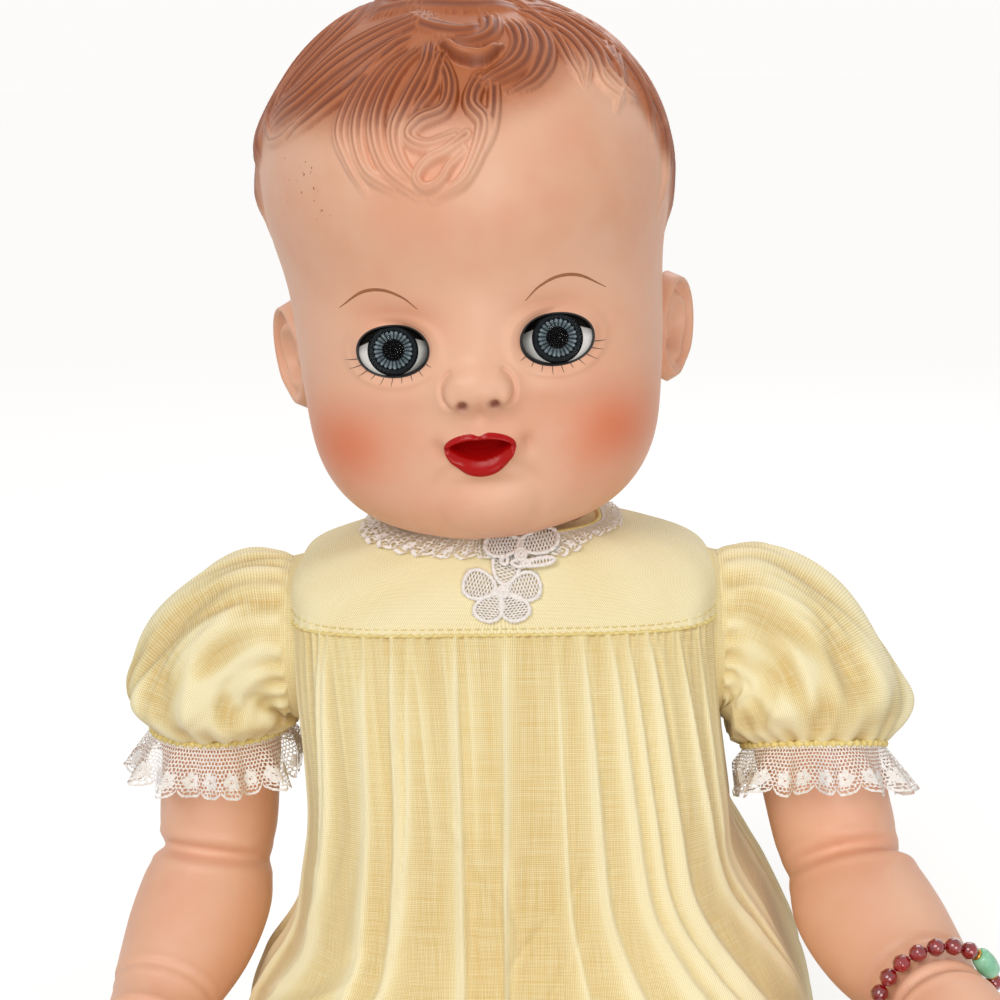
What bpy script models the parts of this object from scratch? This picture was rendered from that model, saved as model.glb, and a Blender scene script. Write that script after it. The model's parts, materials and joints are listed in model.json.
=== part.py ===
"""Sitting baby doll: vinyl head with moulded hair and weighted sleep eyes, five-piece jointed body with a
tilt voice unit, gathered organdy dress with lace trim, and a bead bracelet.

Units are metres. +Z is up, the doll looks along -Y, and its own left side is +X.
The origin is on the floor, under the middle of the whole doll.
"""

import math

import bmesh
import bpy
import numpy as np
from mathutils import Matrix, Vector

# Fits: what touches, and what turns or slides
TOUCH_GAP = 0.0003
TURN_GAP = 0.0004
CLOTH_GAP = 0.0005
SEAM_GAP = 0.0009

# Place of the doll over the origin
DOLL_X = -0.0073
DOLL_Y = 0.0685

# Torso: (share of height, half width, half depth, middle towards the back)
TORSO_HEIGHT = 0.204
TORSO_STRETCH = TORSO_HEIGHT / 0.204  # 1 at the height that the shoulders and the dress were drawn for
TORSO_WALL = 0.003
SEAT_RELIEF = 0.0001
TORSO_STATIONS = (
    (0.00, 0.0380, 0.0320, 0.0060),
    (0.03, 0.0470, 0.0410, 0.0040),
    (0.10, 0.0550, 0.0460, 0.0010),
    (0.22, 0.0590, 0.0490, -0.0020),
    (0.37, 0.0590, 0.0500, -0.0040),
    (0.51, 0.0560, 0.0460, -0.0040),
    (0.66, 0.0530, 0.0420, -0.0010),
    (0.785, 0.0525, 0.0380, 0.0010),
    (0.865, 0.0515, 0.0350, 0.0030),
    (0.917, 0.0470, 0.0310, 0.0050),
    (0.956, 0.0380, 0.0285, 0.0080),
    (0.98, 0.0300, 0.0268, 0.0095),
    (1.00, 0.0270, 0.0260, 0.0100),
)
TORSO_SQUARENESS = 2.3

# Neck: the head's plug snaps through the top of the torso and turns there
NECK_Y = 0.010
NECK_RADIUS = 0.0250
NECK_STEM_RADIUS = 0.0200
NECK_FLANGE_RADIUS = 0.0232
NECK_BORE_RADIUS = 0.0150
FLANGE_THICKNESS = 0.0025
FLANGE_ROOM = 0.008
FLANGE_CLEARANCE = 0.0008

# Head, measured up from the chin
CHIN_GAP = 0.0040
HEAD_WIDTH = 0.1206
HEAD_DEPTH = 0.1300
HEAD_HEIGHT = 0.1530
HEAD_WALL = 0.003
HEAD_LEAN = math.radians(3.4)
LEAN_HEIGHT = -0.040
CHEEK_WIDTH = 0.093
FACE_DEPTH = 0.056
EYE_HEIGHT = 0.0572
EYE_SPACING = 0.0458
MOUTH_HEIGHT = 0.0275
MOUTH_WIDTH = 0.020
MOUTH_OPENING = 0.0115
NOSE_HEIGHT = 0.0460
NOSE_WIDTH = 0.0185
EAR_HEIGHT = 0.050
EAR_LENGTH = 0.0335
HAIR_RELIEF = 0.0016
HAIR_WAVES = 19

# Sleep eyes: two balls on one axle with a lead weight that swings behind the nose
EYE_RADIUS = 0.0130
EYE_SINK = 0.0138
EYE_OPENING_WIDTH = 0.0204
EYE_OPENING_HEIGHT = 0.0154
EYE_CLEARANCE = 0.0006
IRIS_RADIUS = 0.0068
IRIS_THICKNESS = 0.0012
IRIS_DEPTH = 0.0042
CUP_WALL = 0.0016
CUP_LENGTH = 0.0105
AXLE_RADIUS = 0.0011
WEIGHT_ARM = 0.027
WEIGHT_ARM_ANGLE = math.radians(32)
WEIGHT_RADIUS = 0.0055
WEIGHT_LENGTH = 0.011

# Arms, drawn for the doll's left side from the shoulder joint
SHOULDER_SEAT_X = 0.050
SHOULDER_Y = 0.002
SHOULDER_DROP = 0.0346
SHOULDER_Z = TORSO_HEIGHT - SHOULDER_DROP
SHOULDER_POCKET_RADIUS = 0.0215
SHOULDER_STEM_RADIUS = 0.0100
SHOULDER_FLANGE_RADIUS = 0.0132
ARM_ROOT_RADIUS = 0.0190
ARM_SWING_LEFT = math.radians(20)
ARM_SWING_RIGHT = math.radians(0)
ARM_SPLAY_LEFT = 0.14
ARM_SPLAY_RIGHT = 0.02
WRIST_RADIUS = 0.0145
UPPER_ARM_RADIUS = 0.0185
LIMB_WALL = 0.0035
FINGER_RADIUS = 0.0050

# Legs, drawn for the doll's left side from the hip joint
HIP_SEAT_X = 0.024
HIP_Y = -0.008
HIP_Z = 0.033
HIP_DRUM_RADIUS = 0.0308
HIP_DRUM_LENGTH = 0.052
HIP_CLEARANCE = 0.0008
HIP_STEM_RADIUS = 0.0130
HIP_FLANGE_RADIUS = 0.0170
THIGH_MIDDLE = 0.026
TOE_RADIUS = 0.0052

# Voice unit in the back of the torso
VOICE_Z = 0.106 * TORSO_STRETCH
VOICE_RADIUS = 0.021
VOICE_WALL = 0.0016
VOICE_FRONT_Y = 0.004
VOICE_LID_THICKNESS = 0.0016
VOICE_WEIGHT_LENGTH = 0.008
VOICE_TRAVEL = 0.006
BELLOWS_FOLDS = 4
REED_LENGTH = 0.007
SOUND_HOLE_RADIUS = 0.0016
SOUND_HOLE_RING = 0.008
SOUND_HOLES = 4

# Dress: (reach from the neck axis, height) from the neckline, over the yoke seam, to the hem
CLOTH = 0.0012
YOKE_FRONT = ((0.0250, 0.1995), (0.0285, 0.1955), (0.0325, 0.1908), (0.0360, 0.1860), (0.0392, 0.1810))
YOKE_SIDE = ((0.0310, 0.2020), (0.0450, 0.2003), (0.0575, 0.1975), (0.0630, 0.1915), (0.0632, 0.1810))
YOKE_BACK = ((0.0390, 0.2030), (0.0425, 0.1992), (0.0450, 0.1942), (0.0468, 0.1880), (0.0478, 0.1815))
SKIRT_FRONT = ((0.0392, 0.1810), (0.0455, 0.1640), (0.0560, 0.1320), (0.0610, 0.1050), (0.0650, 0.0860),
               (0.0750, 0.0730), (0.0920, 0.0650), (0.1120, 0.0590))
SKIRT_LEFT = ((0.0632, 0.1810), (0.0642, 0.1500), (0.0668, 0.1250), (0.0690, 0.1120), (0.0790, 0.0930),
              (0.0890, 0.0680), (0.0930, 0.0430), (0.0940, 0.0150))
SKIRT_RIGHT = ((0.0632, 0.1810), (0.0625, 0.1600), (0.0600, 0.1250), (0.0620, 0.1080), (0.0660, 0.0850),
               (0.0765, 0.0670), (0.0845, 0.0450), (0.0870, 0.0150))
SKIRT_BACK = ((0.0478, 0.1815), (0.0495, 0.1650), (0.0510, 0.1400), (0.0530, 0.1100), (0.0560, 0.0800),
              (0.0590, 0.0500), (0.0620, 0.0250), (0.0660, 0.0055))
LAP_Z = 0.085
CHEST_Z = 0.140
NECK_SQUARENESS = 2.3
SEAM_SQUARENESS = 3.6
HEM_SQUARENESS = 2.5
SEAM_DROP = 4.0
HEM_DROP = 14.0
SKIRT_FOLDS = 14
FOLD_DEPTH = 0.0030
ARMHOLE_RADIUS = 0.0252
ARMHOLE_X = 0.0640
SLEEVE_PUFF = 0.0310
CUFF_LACE_LENGTH = 0.0150
CUFF_LACE_FLARE = 0.0285
LACE_WAVES = 11
LACE_THICKNESS = 0.0010
CUFF_EASE = 0.0010
CUFF_RADIUS = UPPER_ARM_RADIUS + CUFF_EASE + CLOTH
FLOWER_RADIUS = 0.0108
APPLIQUE_SAG = 0.0005
PETALS = 5
BUTTON_RADIUS = 0.0029
BUTTON_THICKNESS = 0.0018
BUTTON_COUNT = 3

# Bracelet on the left wrist
BEAD_RADIUS = 0.0026
BRACELET_GAP = 0.0006
STRING_RADIUS = 0.0006
GREEN_BEAD_LENGTH = 0.0085
GREEN_BEAD_RADIUS = 0.0031
GREEN_BEAD_ANGLE = 0.6
CLASP_LENGTH = 0.0050
CLASP_RADIUS = 0.0018

# How finely round things are drawn
HEAD_COLUMNS = 32
HEAD_ROWS = 24
CAVITY_COLUMNS = 18
CAVITY_ROWS = 13
TORSO_SIDES = 22
CAVITY_LEVELS = 8
LIMB_SIDES = 13
HOLLOW_SIDES = 8
HAND_SIDES = 5
BEAD_SIDES = 5
SMALL_SIDES = 8
EYE_SIDES = 12
SKIRT_COLUMNS = 52
SKIRT_ROWS = 9
YOKE_COLUMNS = 32
YOKE_ROWS = 6
SLEEVE_COLUMNS = 18
TAU = 2 * math.pi

MATERIALS = {
    "skin_vinyl": ((0.80, 0.47, 0.31), 0.42, 0.0),
    "eye_white": ((0.72, 0.70, 0.66), 0.20, 0.0),
    "iris_plastic": ((0.16, 0.24, 0.28), 0.25, 0.0),
    "clear_lens": ((0.80, 0.84, 0.86), 0.05, 0.0),
    "steel_wire": ((0.55, 0.55, 0.56), 0.35, 1.0),
    "lead": ((0.20, 0.20, 0.22), 0.55, 1.0),
    "cup_plastic": ((0.70, 0.66, 0.58), 0.50, 0.0),
    "voice_card": ((0.42, 0.31, 0.20), 0.80, 0.0),
    "yellow_organdy": ((0.80, 0.68, 0.30), 0.85, 0.0),
    "white_lace": ((0.85, 0.83, 0.78), 0.90, 0.0),
    "pearl_button": ((0.86, 0.84, 0.80), 0.25, 0.0),
    "red_glass": ((0.16, 0.005, 0.015), 0.10, 0.0),
    "green_stone": ((0.18, 0.50, 0.32), 0.25, 0.0),
    "gold_metal": ((0.75, 0.52, 0.16), 0.25, 1.0),
}


# Scene and mesh helpers


def clear_scene():
    for obj in list(bpy.data.objects):
        bpy.data.objects.remove(obj)


def make_materials():
    made = {}
    for name, (colour, roughness, metallic) in MATERIALS.items():
        material = bpy.data.materials.new(name)
        material.use_nodes = True
        shader = material.node_tree.nodes["Principled BSDF"]
        shader.inputs["Base Color"].default_value = (*colour, 1.0)
        shader.inputs["Roughness"].default_value = roughness
        shader.inputs["Metallic"].default_value = metallic
        made[name] = material
    return made


def frame(name, location, parent=None, turn_x=0.0, turn_y=0.0):
    """An empty on a joint's axis, which the pieces of that body hang from."""
    empty = bpy.data.objects.new(name, None)
    bpy.context.scene.collection.objects.link(empty)
    empty.location = location
    empty.rotation_euler = (turn_x, turn_y, 0)
    empty.parent = parent
    return empty


def add_object(name, mesh_data, parent, material=None):
    """Links a mesh, given as (points, faces), under a frame. With no material it is a hidden helper."""
    points, faces = mesh_data
    mesh = bpy.data.meshes.new(name)
    mesh.from_pydata([tuple(p) for p in points], [], faces)
    shape = bmesh.new()
    shape.from_mesh(mesh)
    bmesh.ops.recalc_face_normals(shape, faces=shape.faces)
    shape.to_mesh(mesh)
    shape.free()
    mesh.shade_smooth()
    mesh.set_sharp_from_angle(angle=math.radians(40))
    obj = bpy.data.objects.new(name, mesh)
    bpy.context.scene.collection.objects.link(obj)
    obj.parent = parent
    if material is None:
        obj.hide_render = True
        obj.display_type = "WIRE"
    else:
        mesh.materials.append(material)
    return obj


def combine(target, tool_mesh, operation, label, parent=None):
    """Adds a Boolean of a hidden helper, drawn in the target's own frame or in another."""
    tool = add_object(f"{target.name}_{label}", tool_mesh, parent or target.parent)
    modifier = target.modifiers.new(label, "BOOLEAN")
    modifier.operation = operation
    modifier.solver = "EXACT"
    modifier.object = tool
    return tool


def loft(rings, closed=False):
    """Skin over rings with the same number of points: capped at both ends, or joined end to end."""
    count = len(rings[0])
    points = [p for ring in rings for p in ring]
    faces = []
    last = len(rings) if closed else len(rings) - 1
    for i in range(last):
        low, high = i * count, ((i + 1) % len(rings)) * count
        for j in range(count):
            k = (j + 1) % count
            faces.append((low + j, low + k, high + k, high + j))
    if not closed:
        faces.append(tuple(reversed(range(count))))
        faces.append(tuple(range((len(rings) - 1) * count, len(rings) * count)))
    return points, faces


def ring(centre, across, along, half_width, half_depth, sides, power=2.0):
    """A ring round a centre in the plane of two unit vectors; a power above 2 squares it off."""
    points = []
    for j in range(sides):
        angle = TAU * j / sides
        c, s = math.cos(angle), math.sin(angle)
        u = math.copysign(abs(c) ** (2 / power), c) * half_width
        v = math.copysign(abs(s) ** (2 / power), s) * half_depth
        points.append(Vector(centre) + Vector(across) * u + Vector(along) * v)
    return points


def turned(profile, axis, centre=(0, 0, 0), sides=SMALL_SIDES):
    """A solid of revolution: the profile is (distance along the axis, radius)."""
    direction = Vector(axis).normalized()
    across = direction.orthogonal().normalized()
    along = direction.cross(across)
    rings = []
    for distance, radius in profile:
        rings.append(ring(Vector(centre) + direction * distance, across, along, radius, radius, sides))
    return loft(rings)


def rod(start, end, radius, sides=SMALL_SIDES):
    start, end = Vector(start), Vector(end)
    length = (end - start).length
    return turned(((0, radius), (length, radius)), end - start, start, sides)


def ball(centre, radii, columns=16, rows=10, turn=None):
    """An ellipsoid from Blender's own sphere, turned by a matrix before it is placed."""
    shape = bmesh.new()
    bmesh.ops.create_uvsphere(shape, u_segments=columns, v_segments=rows, radius=1.0)
    place = Matrix.Translation(centre) @ (turn or Matrix.Identity(4)) @ Matrix.Diagonal((*radii, 1))
    bmesh.ops.transform(shape, matrix=place, verts=shape.verts)
    points = [v.co.copy() for v in shape.verts]
    faces = [tuple(v.index for v in f.verts) for f in shape.faces]
    shape.free()
    return points, faces


def smooth_curve(stations, count):
    """Points along a Catmull-Rom curve through the stations, each a tuple of numbers, evenly in parameter."""
    known = np.array(stations, float)
    padded = np.vstack([2 * known[0] - known[1], known, 2 * known[-1] - known[-2]])
    at = np.linspace(0, len(known) - 1, count)
    index = np.minimum(at.astype(int), len(known) - 2)
    t = (at - index)[:, None]
    a, b, c, d = (padded[index + k] for k in range(4))
    return 0.5 * (2 * b + (c - a) * t + (2 * a - 5 * b + 4 * c - d) * t**2 + (3 * b - a - 3 * c + d) * t**3)


def limb(stations, reference, count, sides, tip=True):
    """A limb lofted along stations of (x, y, z, half width, half depth), closed at its tip by a round end."""
    rows = smooth_curve(stations, count)
    middle, sizes = rows[:, :3], rows[:, 3:]
    tangents = np.gradient(middle, axis=0)
    rings = []
    for centre, tangent, (wide, deep) in zip(middle, tangents, sizes):
        t = Vector(tangent).normalized()
        n = (Vector(reference) - t * t.dot(Vector(reference))).normalized()
        rings.append(ring(centre, t.cross(n), n, wide, deep, sides))
    if tip:
        t = Vector(tangents[-1]).normalized()
        n = (Vector(reference) - t * t.dot(Vector(reference))).normalized()
        wide, deep = sizes[-1]
        for share in (0.55, 0.88):
            reach = Vector(middle[-1]) + t * deep * share
            shrink = math.sqrt(1 - share**2)
            rings.append(ring(reach, t.cross(n), n, wide * shrink, deep * shrink, sides))
    return loft(rings)


def mirrored(mesh_data, side):
    """The mesh on the doll's own left (side 1) or its mirror image on the right (side -1)."""
    points, faces = mesh_data
    return [Vector((p[0] * side, p[1], p[2])) for p in points], faces


def blob_chain(points, radius):
    """A finger or toe: a round-ended tube through a few points."""
    first, last = Vector(points[0]), Vector(points[-1])
    start = (Vector(points[1]) - first).normalized()
    end = (last - Vector(points[-2])).normalized()
    path = [first - start * radius * 0.9, first - start * radius * 0.5, *map(Vector, points)]
    path += [last + end * radius * 0.55, last + end * radius * 0.9]
    sizes = [0.45, 0.87] + [1.0] * len(points) + [0.83, 0.43]
    rings = []
    for i, (centre, size) in enumerate(zip(path, sizes)):
        t = (path[min(i + 1, len(path) - 1)] - path[max(i - 1, 0)]).normalized()
        across = t.orthogonal().normalized()
        if i:
            across = (last_across - t * t.dot(last_across)).normalized()
        last_across = across
        rings.append(ring(centre, across, t.cross(across), radius * size, radius * size, HAND_SIDES))
    return loft(rings)


def hollow(stations):
    """The stations of a limb's hollow, one wall further in."""
    return [(x, y, z, wide - LIMB_WALL, deep - LIMB_WALL) for x, y, z, wide, deep in stations]


def plug(axis_start, inward, seat_gap, wall, stem_radius, flange_radius, bury):
    """A moulded joint plug: a stem through the wall and a flange behind it. It starts inside the limb."""
    profile = (
        (-bury, stem_radius),
        (seat_gap + wall + seat_gap, stem_radius),
        (seat_gap + wall + seat_gap, flange_radius),
        (seat_gap + wall + seat_gap + FLANGE_THICKNESS, flange_radius * 0.9),
    )
    return turned(profile, inward, axis_start, 14)


# Head form: a soft union of ellipsoids, read along rays from a point inside the skull

HEAD_MIDDLE = np.array((0.0, -0.004, 0.066))
FORM_SOFTNESS = 0.0045
DETAIL_SOFTNESS = 0.0016


def head_forms():
    """(centre, radii) of the large forms: skull, face, chin, nape, temples and cheeks."""
    skull_half = HEAD_HEIGHT * 0.342
    forms = [
        ((0, 0.002, HEAD_HEIGHT - skull_half), (HEAD_WIDTH / 2, HEAD_DEPTH / 2, skull_half)),
        ((0, 0.042 - FACE_DEPTH, 0.052), (0.0545, 0.042, 0.0445)),
        ((0, 0.020 - FACE_DEPTH, 0.0130), (0.0200, 0.0165, 0.0130)),
        ((0, 0.006, 0.041), (0.0540, 0.042, 0.0390)),
        ((0, 0.004, 0.068), (0.0548, 0.050, 0.0340)),
    ]
    for side in (1, -1):
        forms.append(((side * (CHEEK_WIDTH / 2 - 0.030), 0.031 - FACE_DEPTH, 0.0325), (0.030, 0.025, 0.0305)))
    return forms


def face_details():
    """(centre, radii) of the small forms: nose, nostril wings and lips."""
    tip = -FACE_DEPTH
    details = [
        ((0, tip - 0.0005, NOSE_HEIGHT), (NOSE_WIDTH * 0.33, 0.0075, 0.0058)),
        ((0, tip + 0.0040, NOSE_HEIGHT + 0.009), (0.0042, 0.0060, 0.0095)),
        ((0, tip + 0.0035, MOUTH_HEIGHT + MOUTH_OPENING / 2), (MOUTH_WIDTH / 2, 0.0062, 0.0030)),
        ((0, tip + 0.0040, MOUTH_HEIGHT - MOUTH_OPENING / 2), (MOUTH_WIDTH * 0.42, 0.0062, 0.0032)),
    ]
    for side in (1, -1):
        wing = (side * NOSE_WIDTH * 0.31, tip + 0.0025, NOSE_HEIGHT - 0.0012)
        details.append((wing, (NOSE_WIDTH * 0.20, 0.0055, 0.0042)))
    return details


def soft_distance(points, forms, softness):
    """About the distance outside a soft union of ellipsoids, negative inside."""
    total = 0.0
    for centre, radii in forms:
        scaled = (points - np.array(centre)) / np.array(radii)
        distance = (np.linalg.norm(scaled, axis=-1) - 1) * min(radii)
        total = total + np.exp(-distance / softness)
    return -softness * np.log(total)


def head_distance(points, with_details=True):
    form = soft_distance(points, head_forms(), FORM_SOFTNESS)
    if not with_details:
        return form
    details = soft_distance(points, face_details(), DETAIL_SOFTNESS)
    joined = np.exp(-form / DETAIL_SOFTNESS) + np.exp(-details / DETAIL_SOFTNESS)
    return -DETAIL_SOFTNESS * np.log(joined)


def first_outside(start, directions, with_details):
    """How far along each ray the head's surface lies, by halving."""
    near = np.zeros(directions.shape[:-1])
    far = near + HEAD_HEIGHT
    for _ in range(34):
        middle = (near + far) / 2
        inside = head_distance(start + directions * middle[..., None], with_details) < 0
        near = np.where(inside, middle, near)
        far = np.where(inside, far, middle)
    return near


def crowded(low, high, count, focus, spread, extra):
    """Numbers from low to high that lie closer together round a focus."""
    fine = np.linspace(low, high, 400)
    density = 1 + extra * np.exp(-(((fine - focus) / spread) ** 2))
    filled = np.concatenate([[0], np.cumsum((density[1:] + density[:-1]) / 2)])
    return np.interp(np.linspace(0, filled[-1], count), filled, fine)


def hair_lift(points):
    """How far the moulded hair stands off the scalp: a wavy cap above the hairline, with a forehead lock."""
    around = np.arctan2(points[..., 0], -points[..., 1])
    lock = 0.024 * np.exp(-(((around + 0.30) / 0.26) ** 2))
    sides = 0.060 * (1 - np.cos(around)) / 2 + 0.030 * (1 - np.cos(2 * around)) / 2
    hairline = HEAD_HEIGHT - 0.024 - lock - sides
    cover = np.clip((points[..., 2] - hairline) / 0.006, 0, 1)
    waves = np.cos(HAIR_WAVES * around + 60 * (points[..., 2] - HEAD_HEIGHT))
    crown = np.clip((HEAD_HEIGHT - points[..., 2]) / 0.020, 0, 1)
    return HAIR_RELIEF * cover * (0.7 + 0.3 * waves * crown)


def head_grid(columns, rows, inset=0.0, detailed=True):
    """The head's skin as a closed mesh. An inset draws it further in, without hair or small forms."""
    around = crowded(-math.pi, math.pi, columns + 1, 0.0, 0.55, 3.0 if detailed else 0.0)[:-1]
    down = crowded(0, math.pi, rows + 2, 1.85, 0.45, 1.4 if detailed else 0.0)[1:-1]
    a, d = np.meshgrid(around, down)
    rays = np.stack([np.sin(d) * np.sin(a), -np.sin(d) * np.cos(a), np.cos(d)], axis=-1)
    poles = np.array([[0, 0, 1.0], [0, 0, -1.0]])

    def surface(directions):
        reach = first_outside(HEAD_MIDDLE, directions, detailed)
        if detailed:
            reach = reach + hair_lift(HEAD_MIDDLE + directions * reach[..., None])
        return HEAD_MIDDLE + directions * (reach - inset)[..., None]

    grid = surface(rays)
    top, bottom = surface(poles)
    points = [Vector(p) for p in grid.reshape(-1, 3)] + [Vector(top), Vector(bottom)]
    faces = []
    for i in range(rows - 1):
        for j in range(columns):
            k = (j + 1) % columns
            faces.append((i * columns + j, i * columns + k, (i + 1) * columns + k))
            faces.append((i * columns + j, (i + 1) * columns + k, (i + 1) * columns + j))
    last = (rows - 1) * columns
    for j in range(columns):
        k = (j + 1) % columns
        faces.append((rows * columns, k, j))
        faces.append((rows * columns + 1, last + j, last + k))
    return points, faces


def face_front(x, z):
    """The y of the plain face surface in front of a point, without nose or lips."""
    ray = np.array([[0.0, -1.0, 0.0]])
    start = np.array([[x, HEAD_MIDDLE[1], z]])
    return float(start[0, 1] - first_outside(start, ray, False)[0])


def eye_centre(side):
    x = side * EYE_SPACING / 2
    return Vector((x, face_front(x, EYE_HEIGHT) + EYE_SINK, EYE_HEIGHT))


def ear_turn(side):
    return Matrix.Rotation(side * math.radians(-24), 4, "Z") @ Matrix.Rotation(math.radians(-8), 4, "X")


def ear_root(side):
    """Where the ear meets the side of the head."""
    start = np.array([[0.0, 0.006, EAR_HEIGHT]])
    reach = first_outside(start, np.array([[float(side), 0.0, 0.0]]), False)[0]
    return Vector((side * reach, 0.006, EAR_HEIGHT))


def build_head(head, face, materials):
    """The head leans a little to one side on a neck that stays upright."""
    shell = add_object("head_shell", head_grid(HEAD_COLUMNS, HEAD_ROWS), face, materials["skin_vinyl"])
    seat = TOUCH_GAP - CHIN_GAP
    for side, label in ((1, "left"), (-1, "right")):
        root = ear_root(side)
        middle = root + Vector((side * 0.0030, 0.002, 0))
        ear = ball(middle, (0.0052, 0.0120, EAR_LENGTH / 2), 12, 8, ear_turn(side))
        combine(shell, ear, "UNION", f"ear_{label}")
        hollow = middle + ear_turn(side) @ Vector((side * 0.0050, -0.0015, 0.0015))
        concha = ball(hollow, (0.0034, 0.0075, EAR_LENGTH * 0.31), 10, 6, ear_turn(side))
        combine(shell, concha, "DIFFERENCE", f"ear_hollow_{label}")
    neck = turned(((seat, NECK_RADIUS), (seat + 0.016, NECK_RADIUS * 0.9)), (0, 0, 1), (0, 0, 0), 20)
    combine(shell, neck, "UNION", "neck", head)
    cavity = head_grid(CAVITY_COLUMNS, CAVITY_ROWS, HEAD_WALL, detailed=False)
    combine(shell, cavity, "DIFFERENCE", "cavity")
    stem = plug((0, 0, seat), (0, 0, -1), TOUCH_GAP, TORSO_WALL, NECK_STEM_RADIUS, NECK_FLANGE_RADIUS, 0.006)
    combine(shell, stem, "UNION", "plug", head)
    bore = rod((0, 0, -0.03), (0, 0, 0.024), NECK_BORE_RADIUS, 14)
    combine(shell, bore, "DIFFERENCE", "bore", head)
    lips = face_front(0, MOUTH_HEIGHT)
    mouth = ball((0, lips - 0.0035, MOUTH_HEIGHT), (MOUTH_WIDTH * 0.36, 0.0062, MOUTH_OPENING * 0.36), 12, 6)
    combine(shell, mouth, "DIFFERENCE", "mouth")
    for side, label in ((1, "left"), (-1, "right")):
        centre = eye_centre(side)
        front = (Vector((0, -0.03, 0)), Vector((0, -0.004, 0)))
        opening = loft([ring(centre + y, (1, 0, 0), (0, 0, 1), EYE_OPENING_WIDTH / 2,
                             EYE_OPENING_HEIGHT / 2, EYE_SIDES, 2.2) for y in front])
        combine(shell, opening, "DIFFERENCE", f"eye_opening_{label}")
        room = EYE_RADIUS + EYE_CLEARANCE
        combine(shell, ball(centre, (room, room, room), EYE_SIDES, 9), "DIFFERENCE", f"eye_room_{label}")
    return shell


# Sleep eyes


def build_eye_cup(side, label, head, materials):
    """The bucket that the eye rocks in: it fits the inside of the face and carries the axle."""
    centre = eye_centre(side)
    inner = EYE_RADIUS + EYE_CLEARANCE + TOUCH_GAP
    outer = inner + CUP_WALL
    wall = []
    lip = HEAD_WALL * 0.6 - EYE_SINK
    for reach, radius in ((CUP_LENGTH, outer), (lip, outer), (lip, inner), (CUP_LENGTH, inner)):
        wall.append(ring(centre + Vector((0, reach, 0)), (1, 0, 0), (0, 0, 1), radius, radius, EYE_SIDES))
    cup = add_object(f"eye_cup_{label}", loft(wall, closed=True), head, materials["cup_plastic"])
    hole = AXLE_RADIUS + TURN_GAP
    start = centre - Vector((side * (inner - 0.003), 0, 0))
    combine(cup, rod(start, start - Vector((side * 0.008, 0, 0)), hole), "DIFFERENCE", "axle_hole")
    room = head_grid(CAVITY_COLUMNS, CAVITY_ROWS, HEAD_WALL + TOUCH_GAP, detailed=False)
    combine(cup, room, "INTERSECT", "face_inside")


def build_eye(side, label, eyes, materials):
    """One rocking eye, drawn round its own middle: white ball, iris disc and clear lens."""
    middle = Vector((side * EYE_SPACING / 2, 0, 0))
    white = add_object(f"eyeball_{label}", ball(middle, (EYE_RADIUS,) * 3, EYE_SIDES, 9), eyes, materials["eye_white"])
    floor = -EYE_RADIUS + IRIS_DEPTH
    well = rod(middle + Vector((0, floor, 0)), middle + Vector((0, -0.03, 0)), IRIS_RADIUS + TOUCH_GAP, EYE_SIDES)
    combine(white, well, "DIFFERENCE", "iris_well")
    bore = rod(middle - Vector((0.03, 0, 0)), middle + Vector((0.03, 0, 0)), AXLE_RADIUS + TOUCH_GAP)
    combine(white, bore, "DIFFERENCE", "axle_bore")
    disc_back = floor - TOUCH_GAP
    disc_front = disc_back - IRIS_THICKNESS
    pupil_dish = 0.0004
    iris_profile = (
        (-disc_back, IRIS_RADIUS),
        (-disc_front, IRIS_RADIUS),
        (-disc_front - pupil_dish, IRIS_RADIUS * 0.45),
    )
    add_object(f"iris_{label}", turned(iris_profile, (0, -1, 0), middle, EYE_SIDES), eyes, materials["iris_plastic"])
    rim_front = math.sqrt(EYE_RADIUS**2 - IRIS_RADIUS**2)
    lens = [(-disc_front + pupil_dish + TOUCH_GAP, IRIS_RADIUS)]
    for step in range(3):
        reach = rim_front + (EYE_RADIUS - rim_front) * (step / 2.2)
        lens.append((reach, math.sqrt(EYE_RADIUS**2 - reach**2)))
    add_object(f"cornea_{label}", turned(lens, (0, -1, 0), middle, EYE_SIDES), eyes, materials["clear_lens"])


def build_eye_rocker(eyes, materials):
    """The axle, pinned in both eyes and borne by the cups, with an arm that carries the lead weight."""
    reach = EYE_SPACING / 2 + EYE_RADIUS * 0.85
    axle = add_object("eye_axle", rod((-reach, 0, 0), (reach, 0, 0), AXLE_RADIUS), eyes, materials["steel_wire"])
    arm = Vector((0, math.sin(WEIGHT_ARM_ANGLE), -math.cos(WEIGHT_ARM_ANGLE)))
    combine(axle, rod((0, 0, 0), arm * WEIGHT_ARM, AXLE_RADIUS * 0.93), "UNION", "arm")
    start = WEIGHT_ARM + TOUCH_GAP
    pear = (
        (start, WEIGHT_RADIUS * 0.5),
        (start + WEIGHT_LENGTH * 0.3, WEIGHT_RADIUS * 0.9),
        (start + WEIGHT_LENGTH * 0.65, WEIGHT_RADIUS),
        (start + WEIGHT_LENGTH, WEIGHT_RADIUS * 0.6),
    )
    add_object("eye_weight", turned(pear, arm, (0, 0, 0), 12), eyes, materials["lead"])


# Torso and voice unit


def torso_section(z):
    """Half width, half depth and middle of the torso at a height, for an array of heights."""
    table = np.array(TORSO_STATIONS)
    fine = smooth_curve(table, 200)
    share = np.clip(np.asarray(z) / TORSO_HEIGHT, 0, 1)
    return [np.interp(share, fine[:, 0], fine[:, k]) for k in (1, 2, 3)]


def torso_loft(levels, sides, inset):
    rings = []
    for z in levels:
        wide, deep, middle = torso_section(z)
        rings.append(ring((0, middle, z), (1, 0, 0), (0, 1, 0), wide - inset, deep - inset, sides, TORSO_SQUARENESS))
    return loft(rings)


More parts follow.
